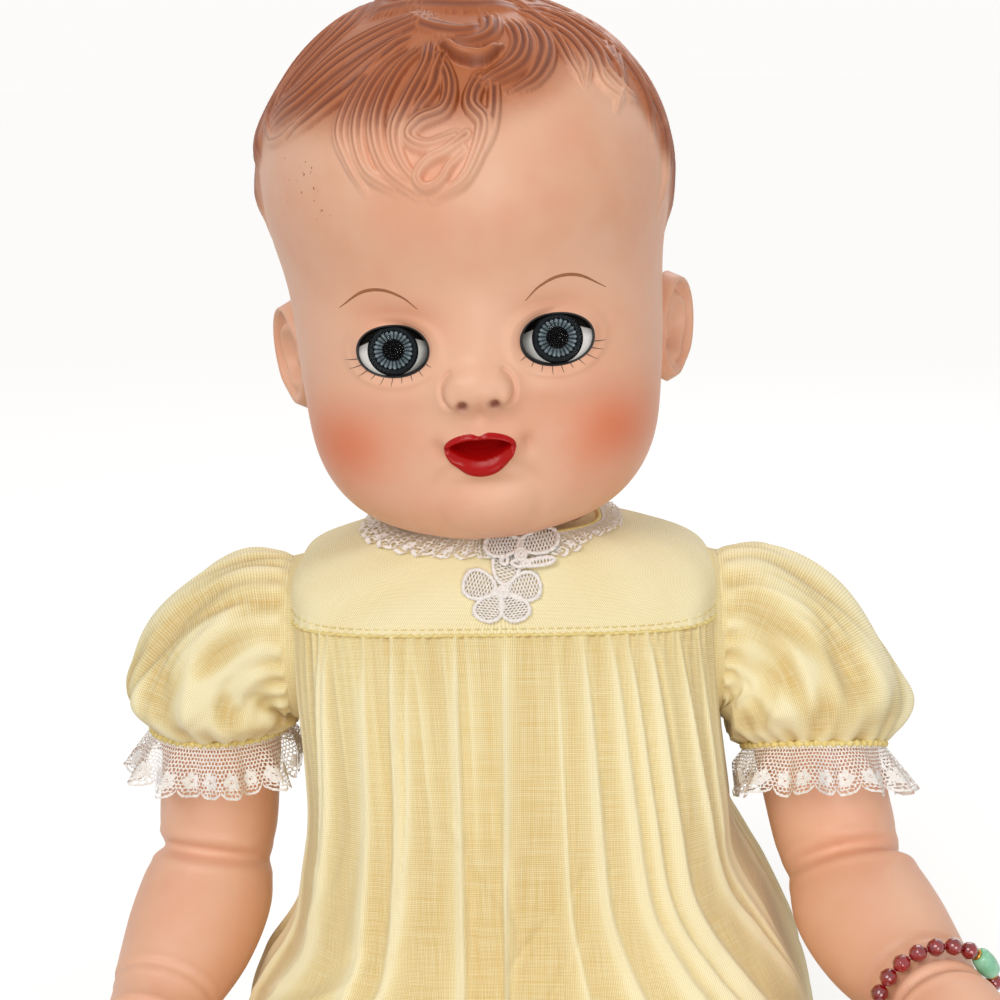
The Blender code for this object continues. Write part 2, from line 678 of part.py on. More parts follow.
def shoulder_pocket(side, margin):
    start = Vector((side * (SHOULDER_SEAT_X - margin), SHOULDER_Y, SHOULDER_Z))
    return rod(start, start + Vector((side * 0.04, 0, 0)), SHOULDER_POCKET_RADIUS + margin, 18)


def hip_pocket(side, margin):
    """Room for the hip drum and for the thigh as it swings down: a round back, open to the front and below."""
    radius = HIP_DRUM_RADIUS + HIP_CLEARANCE + margin
    outline = []
    for step in range(15):
        angle = math.radians(90 - 10 * step)
        outline.append((HIP_Y + radius * math.cos(angle), HIP_Z + radius * math.sin(angle)))
    outline += [(outline[-1][0], -HIP_Z), (-2 * HIP_DRUM_LENGTH, -HIP_Z), (-2 * HIP_DRUM_LENGTH, HIP_Z + radius)]
    rings = []
    for x in (HIP_SEAT_X - margin, HIP_SEAT_X + 2 * HIP_DRUM_LENGTH):
        rings.append([Vector((side * x, y, z)) for y, z in outline])
    return loft(rings)


def torso_cavity(inset, name, body):
    """The hollow of the torso as a hidden helper, kept clear of the shoulder and hip seats."""
    levels = np.linspace(inset, TORSO_HEIGHT - inset, CAVITY_LEVELS)
    hollow = add_object(name, torso_loft(levels, CAVITY_COLUMNS, inset), body)
    for side, label in ((1, "left"), (-1, "right")):
        combine(hollow, shoulder_pocket(side, inset), "DIFFERENCE", f"shoulder_{label}")
        combine(hollow, hip_pocket(side, inset), "DIFFERENCE", f"hip_{label}")
    return hollow


def add_boolean(target, tool, operation, label):
    modifier = target.modifiers.new(label, "BOOLEAN")
    modifier.operation = operation
    modifier.solver = "EXACT"
    modifier.object = tool


def build_torso(body, materials):
    levels = [row[0] * TORSO_HEIGHT for row in TORSO_STATIONS]
    torso = add_object("torso_shell", torso_loft(levels, TORSO_SIDES, 0.0), body, materials["skin_vinyl"])
    for side, label in ((1, "left"), (-1, "right")):
        combine(torso, shoulder_pocket(side, 0.0), "DIFFERENCE", f"shoulder_{label}")
        combine(torso, hip_pocket(side, 0.0), "DIFFERENCE", f"hip_{label}")
    add_boolean(torso, torso_cavity(TORSO_WALL, "torso_hollow", body), "DIFFERENCE", "hollow")
    for side, label in ((1, "left"), (-1, "right")):
        arm_hole = Vector((side * SHOULDER_SEAT_X, SHOULDER_Y, SHOULDER_Z))
        leg_hole = Vector((side * HIP_SEAT_X, HIP_Y, HIP_Z))
        across = Vector((side * 0.008, 0, 0))
        combine(torso, rod(arm_hole - across, arm_hole + across, SHOULDER_STEM_RADIUS + TURN_GAP, 14),
                "DIFFERENCE", f"arm_hole_{label}")
        combine(torso, rod(leg_hole - across, leg_hole + across, HIP_STEM_RADIUS + TURN_GAP, 14),
                "DIFFERENCE", f"leg_hole_{label}")
        seat = arm_hole - Vector((side * TORSO_WALL, 0, 0))
        combine(torso, rod(seat, seat - Vector((side * FLANGE_ROOM, 0, 0)), SHOULDER_FLANGE_RADIUS + FLANGE_CLEARANCE, 14),
                "DIFFERENCE", f"arm_flange_room_{label}")
    neck = rod((0, NECK_Y, TORSO_HEIGHT - 0.02), (0, NECK_Y, TORSO_HEIGHT + 0.02), NECK_STEM_RADIUS + TURN_GAP, 20)
    combine(torso, neck, "DIFFERENCE", "neck_hole")
    under = TORSO_HEIGHT - TORSO_WALL + SEAT_RELIEF
    room = rod((0, NECK_Y, under), (0, NECK_Y, under - FLANGE_ROOM), NECK_FLANGE_RADIUS + FLANGE_CLEARANCE, 20)
    combine(torso, room, "DIFFERENCE", "neck_flange_room")
    for index, (x, z) in enumerate(sound_holes()):
        hole = rod((x, 0.03, z), (x, 0.07, z), SOUND_HOLE_RADIUS, 6)
        combine(torso, hole, "DIFFERENCE", f"sound_hole_{index}")
    return torso


def sound_holes():
    places = [(0.0, VOICE_Z)]
    for index in range(SOUND_HOLES):
        angle = TAU * index / SOUND_HOLES
        places.append((SOUND_HOLE_RING * math.cos(angle), VOICE_Z + SOUND_HOLE_RING * math.sin(angle)))
    return places


def build_voice(body, voice_weight, materials):
    """Tilt voice: a card can against the back wall, with a bellows that a sliding weight squeezes."""
    _, deep, middle = torso_section(VOICE_Z)
    back_wall = float(middle + deep) - TORSO_WALL
    front = Vector((0, VOICE_FRONT_Y, VOICE_Z))
    can = add_object("voice_can", rod(front, front + Vector((0, 0.06, 0)), VOICE_RADIUS, 20), body, materials["voice_card"])
    add_boolean(can, torso_cavity(TORSO_WALL + TOUCH_GAP, "voice_room", body), "INTERSECT", "back_wall")
    inside = VOICE_RADIUS - VOICE_WALL
    floor = back_wall - 0.006
    combine(can, rod(front - Vector((0, 0.01, 0)), (0, floor, VOICE_Z), inside, 20), "DIFFERENCE", "inside")
    for index, (x, z) in enumerate(sound_holes()):
        combine(can, rod((x, 0.0, z), (x, 0.07, z), SOUND_HOLE_RADIUS, 6), "DIFFERENCE", f"sound_hole_{index}")
    lid_front = VOICE_FRONT_Y - TOUCH_GAP
    lid = turned(((0, VOICE_RADIUS), (VOICE_LID_THICKNESS, VOICE_RADIUS)), (0, -1, 0), (0, lid_front, VOICE_Z), 20)
    add_object("voice_lid", lid, body, materials["voice_card"])
    weight_y = VOICE_FRONT_Y + TOUCH_GAP
    weight = ((0, inside * 0.90), (0.001, inside - TURN_GAP), (VOICE_WEIGHT_LENGTH - 0.001, inside - TURN_GAP),
              (VOICE_WEIGHT_LENGTH, inside * 0.90))
    add_object("voice_weight", turned(weight, (0, 1, 0), (0, 0, 0), 16), voice_weight, materials["lead"])
    start = weight_y + VOICE_WEIGHT_LENGTH + TOUCH_GAP
    end = floor - REED_LENGTH * 0.2 - TOUCH_GAP
    pleats = []
    for fold in range(2 * BELLOWS_FOLDS + 1):
        radius = inside * (0.86 if fold % 2 else 0.66)
        pleats.append(((end - start) * fold / (2 * BELLOWS_FOLDS), radius))
    bellows = add_object("voice_bellows", turned(pleats, (0, 1, 0), (0, start, VOICE_Z), 14), body, materials["voice_card"])
    tone = rod((0, end - REED_LENGTH, VOICE_Z), (0, end + 0.01, VOICE_Z), SOUND_HOLE_RADIUS * 2.2, 12)
    combine(bellows, tone, "DIFFERENCE", "reed_seat")
    reed = turned(((0, SOUND_HOLE_RADIUS * 1.2), (REED_LENGTH * 0.7, SOUND_HOLE_RADIUS * 1.9),
                   (REED_LENGTH * 1.2 - 2 * TOUCH_GAP, SOUND_HOLE_RADIUS * 1.9)), (0, 1, 0),
                  (0, end - REED_LENGTH + TOUCH_GAP, VOICE_Z), 12)
    add_object("voice_reed", reed, body, materials["pearl_button"])


# Arms: stations run from the shoulder seat, down a bent elbow, to the knuckles


def arm_stations(splay):
    """(x, y, z, half width, half depth) from the shoulder joint. The splay carries the arm outwards as it falls."""
    root = ARM_ROOT_RADIUS
    straight = (
        (TOUCH_GAP, 0.0, 0.0, root * 0.93, root * 0.93),
        (0.0040, 0.0, 0.0, root * 0.98, root * 0.98),
        (0.0130, 0.0, 0.0, root, root),
        (0.0280, 0.0005, -0.0050, root, root),
        (0.0372, 0.0020, -0.0200, 0.0188, 0.0190),
        (0.0390, 0.0040, -0.0400, UPPER_ARM_RADIUS, UPPER_ARM_RADIUS),
        (0.0405, 0.0050, -0.0600, UPPER_ARM_RADIUS, UPPER_ARM_RADIUS),
        (0.0415, 0.0040, -0.0705, 0.0174, 0.0178),
        (0.0435, -0.0020, -0.0815, 0.0204, 0.0198),
        (0.0478, -0.0140, -0.0925, 0.0200, 0.0194),
        (0.0525, -0.0275, -0.1015, 0.0168, 0.0166),
        (0.0546, -0.0350, -0.1060, WRIST_RADIUS, WRIST_RADIUS),
        (0.0558, -0.0410, -0.1092, WRIST_RADIUS, WRIST_RADIUS),
        (0.0567, -0.0480, -0.1128, 0.0165, 0.0130),
        (0.0573, -0.0575, -0.1175, 0.0178, 0.0112),
        (0.0573, -0.0650, -0.1210, 0.0160, 0.0095),
    )
    return tuple((x + splay * max(0.0, -z), y, z, wide, deep) for x, y, z, wide, deep in straight)


def wrist_frame(splay):
    """The middle of the wrist and the direction of the forearm there, from the shoulder joint."""
    rows = np.array(arm_stations(splay))[:, :3]
    start, end = Vector(rows[-5]), Vector(rows[-4])
    return (start + end) / 2, (end - start).normalized()


def hand_fingers(splay):
    """Four curled fingers and a thumb, as lists of points from the shoulder joint."""
    knuckle = Vector(arm_stations(splay)[-1][:3])
    along = Vector((0.02, -0.89, -0.45)).normalized()
    down = Vector((0.0, -0.25, -0.97)).normalized()
    fingers = []
    for slot, length in ((-1.45, 0.0135), (-0.48, 0.0155), (0.48, 0.0150), (1.45, 0.0120)):
        start = knuckle + Vector((slot * FINGER_RADIUS * 1.72, 0, 0)) - along * 0.003
        bend = start + along * length
        fingers.append((start, bend, bend + (along + 1.4 * down).normalized() * length * 0.72))
    base = knuckle + Vector((-0.0135, 0.0130, 0.0030))
    thumb = (base, base + Vector((-0.0050, -0.0085, -0.0050)), base + Vector((-0.0050, -0.0185, -0.0095)))
    fingers.append(thumb)
    return fingers


def build_arm(side, label, splay, arm_frame, materials):
    shape = mirrored(limb(arm_stations(splay), (0, 1, 0), 19, LIMB_SIDES), side)
    arm = add_object(f"arm_{label}", shape, arm_frame, materials["skin_vinyl"])
    for index, points in enumerate(hand_fingers(splay)):
        size = FINGER_RADIUS * (1.08 if index == 4 else 1.0)
        combine(arm, mirrored(blob_chain(points, size), side), "UNION", f"finger_{index}")
    stem = plug((TOUCH_GAP, 0, 0), (-1, 0, 0), TOUCH_GAP, TORSO_WALL, SHOULDER_STEM_RADIUS, SHOULDER_FLANGE_RADIUS, 0.006)
    combine(arm, mirrored(stem, side), "UNION", "plug")
    inside = limb(hollow(arm_stations(splay)[1:-4]), (0, 1, 0), 11, HOLLOW_SIDES, tip=False)
    combine(arm, mirrored(inside, side), "DIFFERENCE", "hollow")
    combine(arm, rod((side * -0.02, 0, 0), (side * 0.006, 0, 0), SHOULDER_STEM_RADIUS * 0.5), "DIFFERENCE", "bore")


# Legs: stations run forwards from the hip drum to the ankle, and the foot stands up from the heel


def leg_stations():
    return (
        (THIGH_MIDDLE, 0.010, 0.000, 0.0240, THIGH_MIDDLE * 0.90),
        (THIGH_MIDDLE, -0.005, 0.000, 0.0298, THIGH_MIDDLE * 0.97),
        (THIGH_MIDDLE, -0.028, 0.000, 0.0300, THIGH_MIDDLE * 0.98),
        (THIGH_MIDDLE, -0.056, -0.001, 0.0282, THIGH_MIDDLE * 0.98),
        (0.0262, -0.082, -0.003, 0.0262, 0.0262),
        (0.0264, -0.095, -0.005, 0.0240, 0.0240),
        (0.0268, -0.108, -0.007, 0.0248, 0.0245),
        (0.0272, -0.130, -0.009, 0.0236, 0.0228),
        (0.0278, -0.152, -0.011, 0.0198, 0.0196),
        (0.0284, -0.170, -0.013, 0.0162, 0.0165),
        (0.0288, -0.182, -0.014, 0.0160, 0.0170),
        (0.0290, -0.193, -0.014, 0.0140, 0.0160),
    )


def foot_stations():
    return (
        (0.0290, -0.187, -0.019, 0.0135, 0.0115),
        (0.0292, -0.190, -0.006, 0.0155, 0.0130),
        (0.0296, -0.194, 0.010, 0.0170, 0.0112),
        (0.0300, -0.197, 0.023, 0.0178, 0.0090),
        (0.0302, -0.199, 0.031, 0.0165, 0.0074),
    )


def build_leg(side, label, leg_frame, materials):
    shape = mirrored(limb(leg_stations(), (1, 0, 0), 13, LIMB_SIDES), side)
    leg = add_object(f"leg_{label}", shape, leg_frame, materials["skin_vinyl"])
    drum = (
        (TOUCH_GAP, HIP_DRUM_RADIUS * 0.955),
        (TOUCH_GAP + 0.003, HIP_DRUM_RADIUS),
        (HIP_DRUM_LENGTH * 0.58, HIP_DRUM_RADIUS),
        (HIP_DRUM_LENGTH * 0.80, HIP_DRUM_RADIUS * 0.90),
        (HIP_DRUM_LENGTH * 0.94, HIP_DRUM_RADIUS * 0.62),
        (HIP_DRUM_LENGTH, HIP_DRUM_RADIUS * 0.22),
    )
    combine(leg, turned(drum, (side, 0, 0), (0, 0, 0), 24), "UNION", "hip_drum")
    combine(leg, mirrored(limb(foot_stations(), (0, 1, 0), 7, 12), side), "UNION", "foot")
    ball_of_foot = Vector(foot_stations()[-1][:3])
    for toe in range(5):
        size = TOE_RADIUS * (1.22, 0.98, 0.94, 0.90, 0.84)[toe]
        start = ball_of_foot + Vector(((toe - 1.80) * TOE_RADIUS * 1.25, -0.0005, -0.0006 * toe**1.6))
        tip = start + Vector((0, -0.0010, 0.0050 - 0.0004 * toe))
        combine(leg, mirrored(blob_chain((start, tip), size), side), "UNION", f"toe_{toe}")
    stem = plug((TOUCH_GAP, 0, 0), (-1, 0, 0), TOUCH_GAP, TORSO_WALL, HIP_STEM_RADIUS, HIP_FLANGE_RADIUS, 0.006)
    combine(leg, mirrored(stem, side), "UNION", "plug")
    inside = limb(hollow(leg_stations()[:-2]), (1, 0, 0), 9, HOLLOW_SIDES, tip=False)
    combine(leg, mirrored(inside, side), "DIFFERENCE", "hollow")
    bore = rod((side * -0.02, 0, 0), (side * THIGH_MIDDLE, 0, 0), HIP_STEM_RADIUS * 0.5)
    combine(leg, bore, "DIFFERENCE", "bore")


# Dress: one draped surface from the neckline to the hem, cut at the yoke seam


def dress_rows(front, left, right, back, count):
    """The profiles with their heights fitted to the torso: all of its stretch above the chest, none on the lap."""
    rows = []
    for profile in (front, left, right, back):
        fitted = np.array(profile)
        share = np.clip((fitted[:, 1] - LAP_Z) / (CHEST_Z - LAP_Z), 0, 1)
        fitted[:, 1] *= 1 + (TORSO_STRETCH - 1) * share
        rows.append(smooth_curve(fitted, count))
    return rows


def drape(rows, index, angle, drop_power, square):
    """A point of the dress: angle 0 is the middle of the front, and the rows give reach and height."""
    front, left, right, back = (profile[index] for profile in rows)
    c, s = math.cos(angle), math.sin(angle)
    facing = front if c > 0 else back
    side = left if s > 0 else right
    x = math.copysign(abs(s) ** (2 / square), s) * side[0]
    y = -math.copysign(abs(c) ** (2 / square), c) * facing[0]
    share = abs(s) ** drop_power
    return Vector((x, y, facing[1] + (side[1] - facing[1]) * share))


def fold_shift(angle, share):
    """How far a gathered fold stands out, from the seam (share 0) to the hem (share 1)."""
    wave = math.cos(SKIRT_FOLDS * angle + 0.8 * math.sin(2 * angle))
    return FOLD_DEPTH * (0.5 + 0.5 * share) * (wave - 1.0) * 0.5


def sheet(rows, columns, outline, shift=None):
    """The outer surface of a draped piece, as rows of rings."""
    count = len(rows[0])
    rings = []
    for index in range(count):
        share = index / (count - 1)
        points = []
        for j in range(columns):
            angle = TAU * j / columns
            point = drape(rows, index, angle, *outline(share))
            if shift:
                flat = Vector((point.x, point.y, 0))
                point += flat.normalized() * shift(angle, share)
            points.append(point)
        rings.append(points)
    return rings


def offset_rings(rings, distance):
    """The same sheet moved along its normals, inwards for a negative distance."""
    grid = np.array([[tuple(p) for p in row] for row in rings])
    around = np.roll(grid, -1, axis=1) - np.roll(grid, 1, axis=1)
    along = np.gradient(grid, axis=0)
    normal = np.cross(along, around)
    normal /= np.linalg.norm(normal, axis=-1, keepdims=True)
    outward = np.sum(normal[..., :2] * grid[..., :2], axis=-1).mean()
    return [[Vector(p) for p in row] for row in grid + normal * distance * math.copysign(1, outward)]


def thick_sheet(rings, thickness):
    """A closed skirt-like solid: the sheet outside, and its copy inside."""
    return loft(rings + list(reversed(offset_rings(rings, -thickness))), closed=True)


def skirt_outline(share):
    """How suddenly the height drops at the sides, and how square the outline is, from the seam to the hem."""
    return SEAM_DROP + (HEM_DROP - SEAM_DROP) * share, SEAM_SQUARENESS + (HEM_SQUARENESS - SEAM_SQUARENESS) * share


def yoke_outline(share):
    """The same from the neckline to the seam."""
    return SEAM_DROP * (0.5 + 0.5 * share), NECK_SQUARENESS + (SEAM_SQUARENESS - NECK_SQUARENESS) * share


def yoke_rings():
    return sheet(dress_rows(YOKE_FRONT, YOKE_SIDE, YOKE_SIDE, YOKE_BACK, YOKE_ROWS), YOKE_COLUMNS, yoke_outline)


def build_dress(body, materials):
    seam = SEAM_GAP
    skirt_rows = dress_rows(SKIRT_FRONT, SKIRT_LEFT, SKIRT_RIGHT, SKIRT_BACK, SKIRT_ROWS)
    lowered = [np.array(profile) - np.array((0, seam)) for profile in skirt_rows]
    skirt = sheet(lowered, SKIRT_COLUMNS, skirt_outline, fold_shift)
    skirt = add_object("dress_skirt", thick_sheet(skirt, CLOTH), body, materials["yellow_organdy"])
    yoke = add_object("dress_yoke", thick_sheet(yoke_rings(), CLOTH), body, materials["yellow_organdy"])
    for side, label in ((1, "left"), (-1, "right")):
        start = Vector((side * SHOULDER_SEAT_X * 0.9, SHOULDER_Y, SHOULDER_Z))
        armhole = rod(start, start + Vector((side * 0.04, 0, 0)), ARMHOLE_RADIUS, 20)
        for cloth in (yoke, skirt):
            combine(cloth, armhole, "DIFFERENCE", f"armhole_{label}")
    build_collar_lace(body, materials)
    build_appliques(body, materials)
    build_buttons(body, materials)


def build_collar_lace(body, materials):
    """A scalloped frill that lies on the yoke round the neckline."""
    base = sheet(dress_rows(YOKE_FRONT, YOKE_SIDE, YOKE_SIDE, YOKE_BACK, 40), YOKE_COLUMNS, yoke_outline)
    frill = []
    for step in range(3):
        row = base[1 + step * 2]
        lifted = offset_rings([base[step * 2], row, base[2 + step * 2]], TOUCH_GAP + LACE_THICKNESS + 0.0003 * step)[1]
        frill.append(lifted)
    add_object("collar_lace", thick_sheet(frill, LACE_THICKNESS), body, materials["white_lace"])


def on_yoke(angle, share):
    """A point on the yoke's outside, its outward normal, and its steps per angle and per share."""
    rows = dress_rows(YOKE_FRONT, YOKE_SIDE, YOKE_SIDE, YOKE_BACK, 61)

    def at(turn, along):
        place = min(max(along, 0.0), 1.0) * 60
        low = min(int(place), 59)
        part = place - low
        near, far = (drape(rows, row, turn, *yoke_outline(row / 60)) for row in (low, low + 1))
        return near * (1 - part) + far * part

    point = at(angle, share)
    aside = (at(angle + 0.02, share) - at(angle - 0.02, share)) / 0.04
    low, high = max(share - 0.02, 0.0), min(share + 0.02, 1.0)
    down = (at(angle, high) - at(angle, low)) / (high - low)
    normal = aside.cross(down).normalized()
    if normal.dot(Vector((point.x, point.y, 0))) < 0:
        normal.negate()
    return point, normal, aside.length, down.length


def flower(angle, share, radius, petals, lift, turn):
    """A flat lace flower with round petals, laid on the yoke."""
    _, _, per_angle, per_share = on_yoke(angle, share)
    rings = []
    for height, shrink in ((lift, 1.0), (lift + LACE_THICKNESS * 0.7, 1.0), (lift + LACE_THICKNESS, 0.94)):
        points = []
        for j in range(petals * 6):
            way = TAU * j / (petals * 6) + turn
            reach = radius * shrink * (0.50 + 0.50 * abs(math.cos(petals * (way - turn) / 2)) ** 0.6)
            place = on_yoke(angle + reach * math.cos(way) / per_angle, share - reach * math.sin(way) / per_share)
            points.append(place[0] + place[1] * height)
        rings.append(points)
    return loft(rings)


def build_appliques(body, materials):
    large = flower(0.06, 0.56, FLOWER_RADIUS, PETALS, TOUCH_GAP + APPLIQUE_SAG, math.pi / 2)
    add_object("flower_applique", large, body, materials["white_lace"])
    over_lace = 2 * TOUCH_GAP + LACE_THICKNESS + 2 * APPLIQUE_SAG
    small = flower(0.24, 0.16, FLOWER_RADIUS * 0.50, 3, over_lace, 0.3)
    add_object("collar_applique", small, body, materials["white_lace"])


def build_buttons(body, materials):
    for index in range(BUTTON_COUNT):
        point, normal, _, _ = on_yoke(math.pi, 0.32 + 0.26 * index)
        shape = turned(((0, BUTTON_RADIUS * 0.9), (BUTTON_THICKNESS * 0.4, BUTTON_RADIUS),
                        (BUTTON_THICKNESS * 0.8, BUTTON_RADIUS), (BUTTON_THICKNESS, BUTTON_RADIUS * 0.8)),
                       normal, point + normal * (TOUCH_GAP + 0.0004), 12)
        add_object(f"back_button_{index + 1}", shape, body, materials["pearl_button"])


# Sleeves: rings round the upper arm, full on the outside and held flat against the body


def sleeve_path(splay):
    """(x, y, z from the shoulder joint, tilt from sideways to downwards, share of the puff)."""
    straight = (
        (ARMHOLE_X - SHOULDER_SEAT_X + CLOTH_GAP, 0.000, 0.0003, 0.00, 0.00),
        (0.0225, 0.000, 0.0000, 0.30, 0.60),
        (0.0315, 0.001, -0.0060, 0.75, 0.97),
        (0.0365, 0.002, -0.0150, 1.20, 1.00),
        (0.0385, 0.003, -0.0245, 1.42, 0.85),
        (0.0385, 0.0035, -0.0310, 1.52, 0.25),
        (0.0386, 0.0038, -0.0350, math.pi / 2, 0.00),
    )
    return tuple((x + splay * max(0.0, -z), y, z, tilt, puff) for x, y, z, tilt, puff in straight)


def inner_lean(splay, z):
    """How far the side of a sleeve next to the body leans out with the arm."""
    return 0.8 * splay * max(0.0, -z)


def sleeve_ring(station, radius, inside_x, splay, columns):
    x, y, z, tilt, _ = station
    across = Vector((math.sin(tilt), 0, math.cos(tilt)))
    points = []
    for j in range(columns):
        angle = TAU * j / columns
        point = Vector((x, y, z)) + across * radius * math.cos(angle) + Vector((0, 1, 0)) * radius * math.sin(angle)
        point.x = max(point.x, inside_x + inner_lean(splay, point.z))
        points.append(point)
    return points


def sleeve_radius(station, armhole):
    puff = station[4]
    base = armhole if station[3] < 0.5 else CUFF_RADIUS
    return base + (SLEEVE_PUFF - base) * puff


def build_sleeve(side, label, splay, arm_frame, materials):
    columns = SLEEVE_COLUMNS
    inside = ARMHOLE_X - SHOULDER_SEAT_X + CLOTH_GAP
    armhole = ARMHOLE_RADIUS - 0.0012
    outer, inner = [], []
    for station in sleeve_path(splay):
        radius = sleeve_radius(station, armhole)
        outer.append(sleeve_ring(station, radius, inside, splay, columns))
        inner.append(sleeve_ring(station, radius - CLOTH, inside + CLOTH, splay, columns))
    inner[0] = [Vector((inside, p.y, p.z)) for p in inner[0]]
    shape = loft(outer + list(reversed(inner)), closed=True)
    add_object(f"sleeve_{label}", mirrored(shape, side), arm_frame, materials["yellow_organdy"])
    build_cuff_lace(side, label, splay, arm_frame, materials)


def build_cuff_lace(side, label, splay, arm_frame, materials):
    """A gathered lace frill below the sleeve, ruffled round the arm."""
    columns = LACE_WAVES * 4
    end = sleeve_path(splay)[-1]
    inside = ARMHOLE_X - SHOULDER_SEAT_X + CLOTH_GAP
    outer, inner = [], []
    for step in range(3):
        share = step / 2
        drop = CLOTH_GAP + CUFF_LACE_LENGTH * share
        row_out, row_in = [], []
        for j in range(columns):
            angle = TAU * j / columns
            ruffle = 0.0022 * share * math.cos(LACE_WAVES * angle)
            radius = CUFF_RADIUS + (CUFF_LACE_FLARE - CUFF_RADIUS) * share + ruffle
            for row, size, wall in ((row_out, radius, inside), (row_in, radius - LACE_THICKNESS, inside + LACE_THICKNESS)):
                point = Vector((end[0] + size * math.cos(angle), end[1] + size * math.sin(angle), end[2] - drop))
                point.x = max(point.x, wall + inner_lean(splay, point.z))
                row.append(point)
        outer.append(row_out)
        inner.append(row_in)
    shape = loft(outer + list(reversed(inner)), closed=True)
    add_object(f"cuff_lace_{label}", mirrored(shape, side), arm_frame, materials["white_lace"])


# Bracelet, drawn round its own axis: the forearm's direction at the left wrist


def build_bracelet(bracelet, splay, materials):
    _, axis = wrist_frame(splay)
    across = Vector((1, 0, 0)) - axis * axis.x
    across.normalize()
    along = axis.cross(across)
    reach = WRIST_RADIUS + BRACELET_GAP + BEAD_RADIUS
    green_arc = (GREEN_BEAD_LENGTH + 2 * TOUCH_GAP) / reach
    free_arc = TAU - green_arc - (CLASP_LENGTH + 2 * TOUCH_GAP) / reach
    bead_count = int(free_arc * reach / (2 * BEAD_RADIUS))
    bead_arc = free_arc / bead_count

    def place(angle):
        return across * reach * math.cos(angle) + along * reach * math.sin(angle)

    def heading(angle):
        return along * math.cos(angle) - across * math.sin(angle)

    half = bead_count // 2
    angles = [GREEN_BEAD_ANGLE - green_arc / 2 - bead_arc * (half - 0.5 - i) for i in range(half)]
    angles += [GREEN_BEAD_ANGLE + green_arc / 2 + bead_arc * (0.5 + i) for i in range(bead_count - half)]
    bead_profile = ((-0.95, 0.31), (-0.45, 0.89), (0.45, 0.89), (0.95, 0.31))
    stations = []
    for angle in angles:
        stations += [(angle + offset * BEAD_RADIUS / reach, size * BEAD_RADIUS) for offset, size in bead_profile]
    split = half * len(bead_profile)
    string = [(GREEN_BEAD_ANGLE + green_arc * (step / 6 - 0.5), STRING_RADIUS) for step in range(7)]
    stations = stations[:split] + string + stations[split:]
    rings = []
    for angle, size in stations:
        rings.append(ring(place(angle), place(angle).normalized(), axis, size, size, BEAD_SIDES))
    add_object("bracelet_red_beads", loft(rings), bracelet, materials["red_glass"])
    start, end = angles[0] - bead_arc / 2, angles[-1] + bead_arc / 2
    barrel = ((-0.5, 0.62), (-0.36, 0.9), (0.0, 1.0), (0.36, 0.9), (0.5, 0.62))
    profile = [(u * GREEN_BEAD_LENGTH, r * GREEN_BEAD_RADIUS) for u, r in barrel]
    barrel_bead = turned(profile, heading(GREEN_BEAD_ANGLE), place(GREEN_BEAD_ANGLE), 12)
    green = add_object("bracelet_green_bead", barrel_bead, bracelet, materials["green_stone"])
    hole = []
    for step in range(9):
        angle = GREEN_BEAD_ANGLE + green_arc * 1.4 * (step / 8 - 0.5)
        size = STRING_RADIUS + TOUCH_GAP
        hole.append(ring(place(angle), place(angle).normalized(), axis, size, size, 6))
    combine(green, loft(hole), "DIFFERENCE", "string_hole")
    middle = (start + end + TAU) / 2
    clasp_length = CLASP_LENGTH - TOUCH_GAP
    clasp = turned(((-clasp_length / 2, CLASP_RADIUS * 0.6), (-clasp_length * 0.3, CLASP_RADIUS),
                    (clasp_length * 0.3, CLASP_RADIUS), (clasp_length / 2, CLASP_RADIUS * 0.6)),
                   heading(middle), place(middle), 12)
    add_object("bracelet_clasp", clasp, bracelet, materials["gold_metal"])


def main():
    clear_scene()
    materials = make_materials()
    body = frame("body_frame", (DOLL_X, DOLL_Y, 0))
    head = frame("head_frame", (0, NECK_Y, TORSO_HEIGHT + CHIN_GAP), body)
    build_torso(body, materials)
    voice_weight = frame("voice_weight_frame", (0, VOICE_FRONT_Y + TOUCH_GAP, VOICE_Z), body)
    build_voice(body, voice_weight, materials)
    lean = Matrix.Translation((0, 0, LEAN_HEIGHT)) @ Matrix.Rotation(-HEAD_LEAN, 4, "Y")
    face = frame("face_frame", lean @ Vector((0, 0, -LEAN_HEIGHT)), head, turn_y=-HEAD_LEAN)
    build_head(head, face, materials)
    middle = (eye_centre(1) + eye_centre(-1)) / 2
    eyes = frame("eye_frame", middle, face)
    build_eye_rocker(eyes, materials)
    build_dress(body, materials)
    arms = ((1, "left", ARM_SWING_LEFT, ARM_SPLAY_LEFT), (-1, "right", ARM_SWING_RIGHT, ARM_SPLAY_RIGHT))
    for side, label, swing, splay in arms:
        build_eye_cup(side, label, face, materials)
        build_eye(side, label, eyes, materials)
        shoulder = frame(f"arm_{label}_frame", (side * SHOULDER_SEAT_X, SHOULDER_Y, SHOULDER_Z), body, -swing)
        build_arm(side, label, splay, shoulder, materials)
        build_sleeve(side, label, splay, shoulder, materials)
        hip = frame(f"leg_{label}_frame", (side * HIP_SEAT_X, HIP_Y, HIP_Z), body)
        build_leg(side, label, hip, materials)
        if side == 1:
            bracelet = frame("bracelet_frame", wrist_frame(splay)[0], shoulder)
            build_bracelet(bracelet, splay, materials)


main()
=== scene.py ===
"""Dresses the baby doll: vinyl skin and paint, moulded hair, sleep eyes, gauze dress, lace and beads.

Units are metres. +Z is up and the doll looks along -Y. Head shapes are written in the head's own frame:
the neck axis is x = y = 0 and the chin is z = 0.
"""

import json
import math
from contextlib import contextmanager

import bmesh
import bpy
import numpy as np
from mathutils import Matrix, Vector
from mathutils.bvhtree import BVHTree


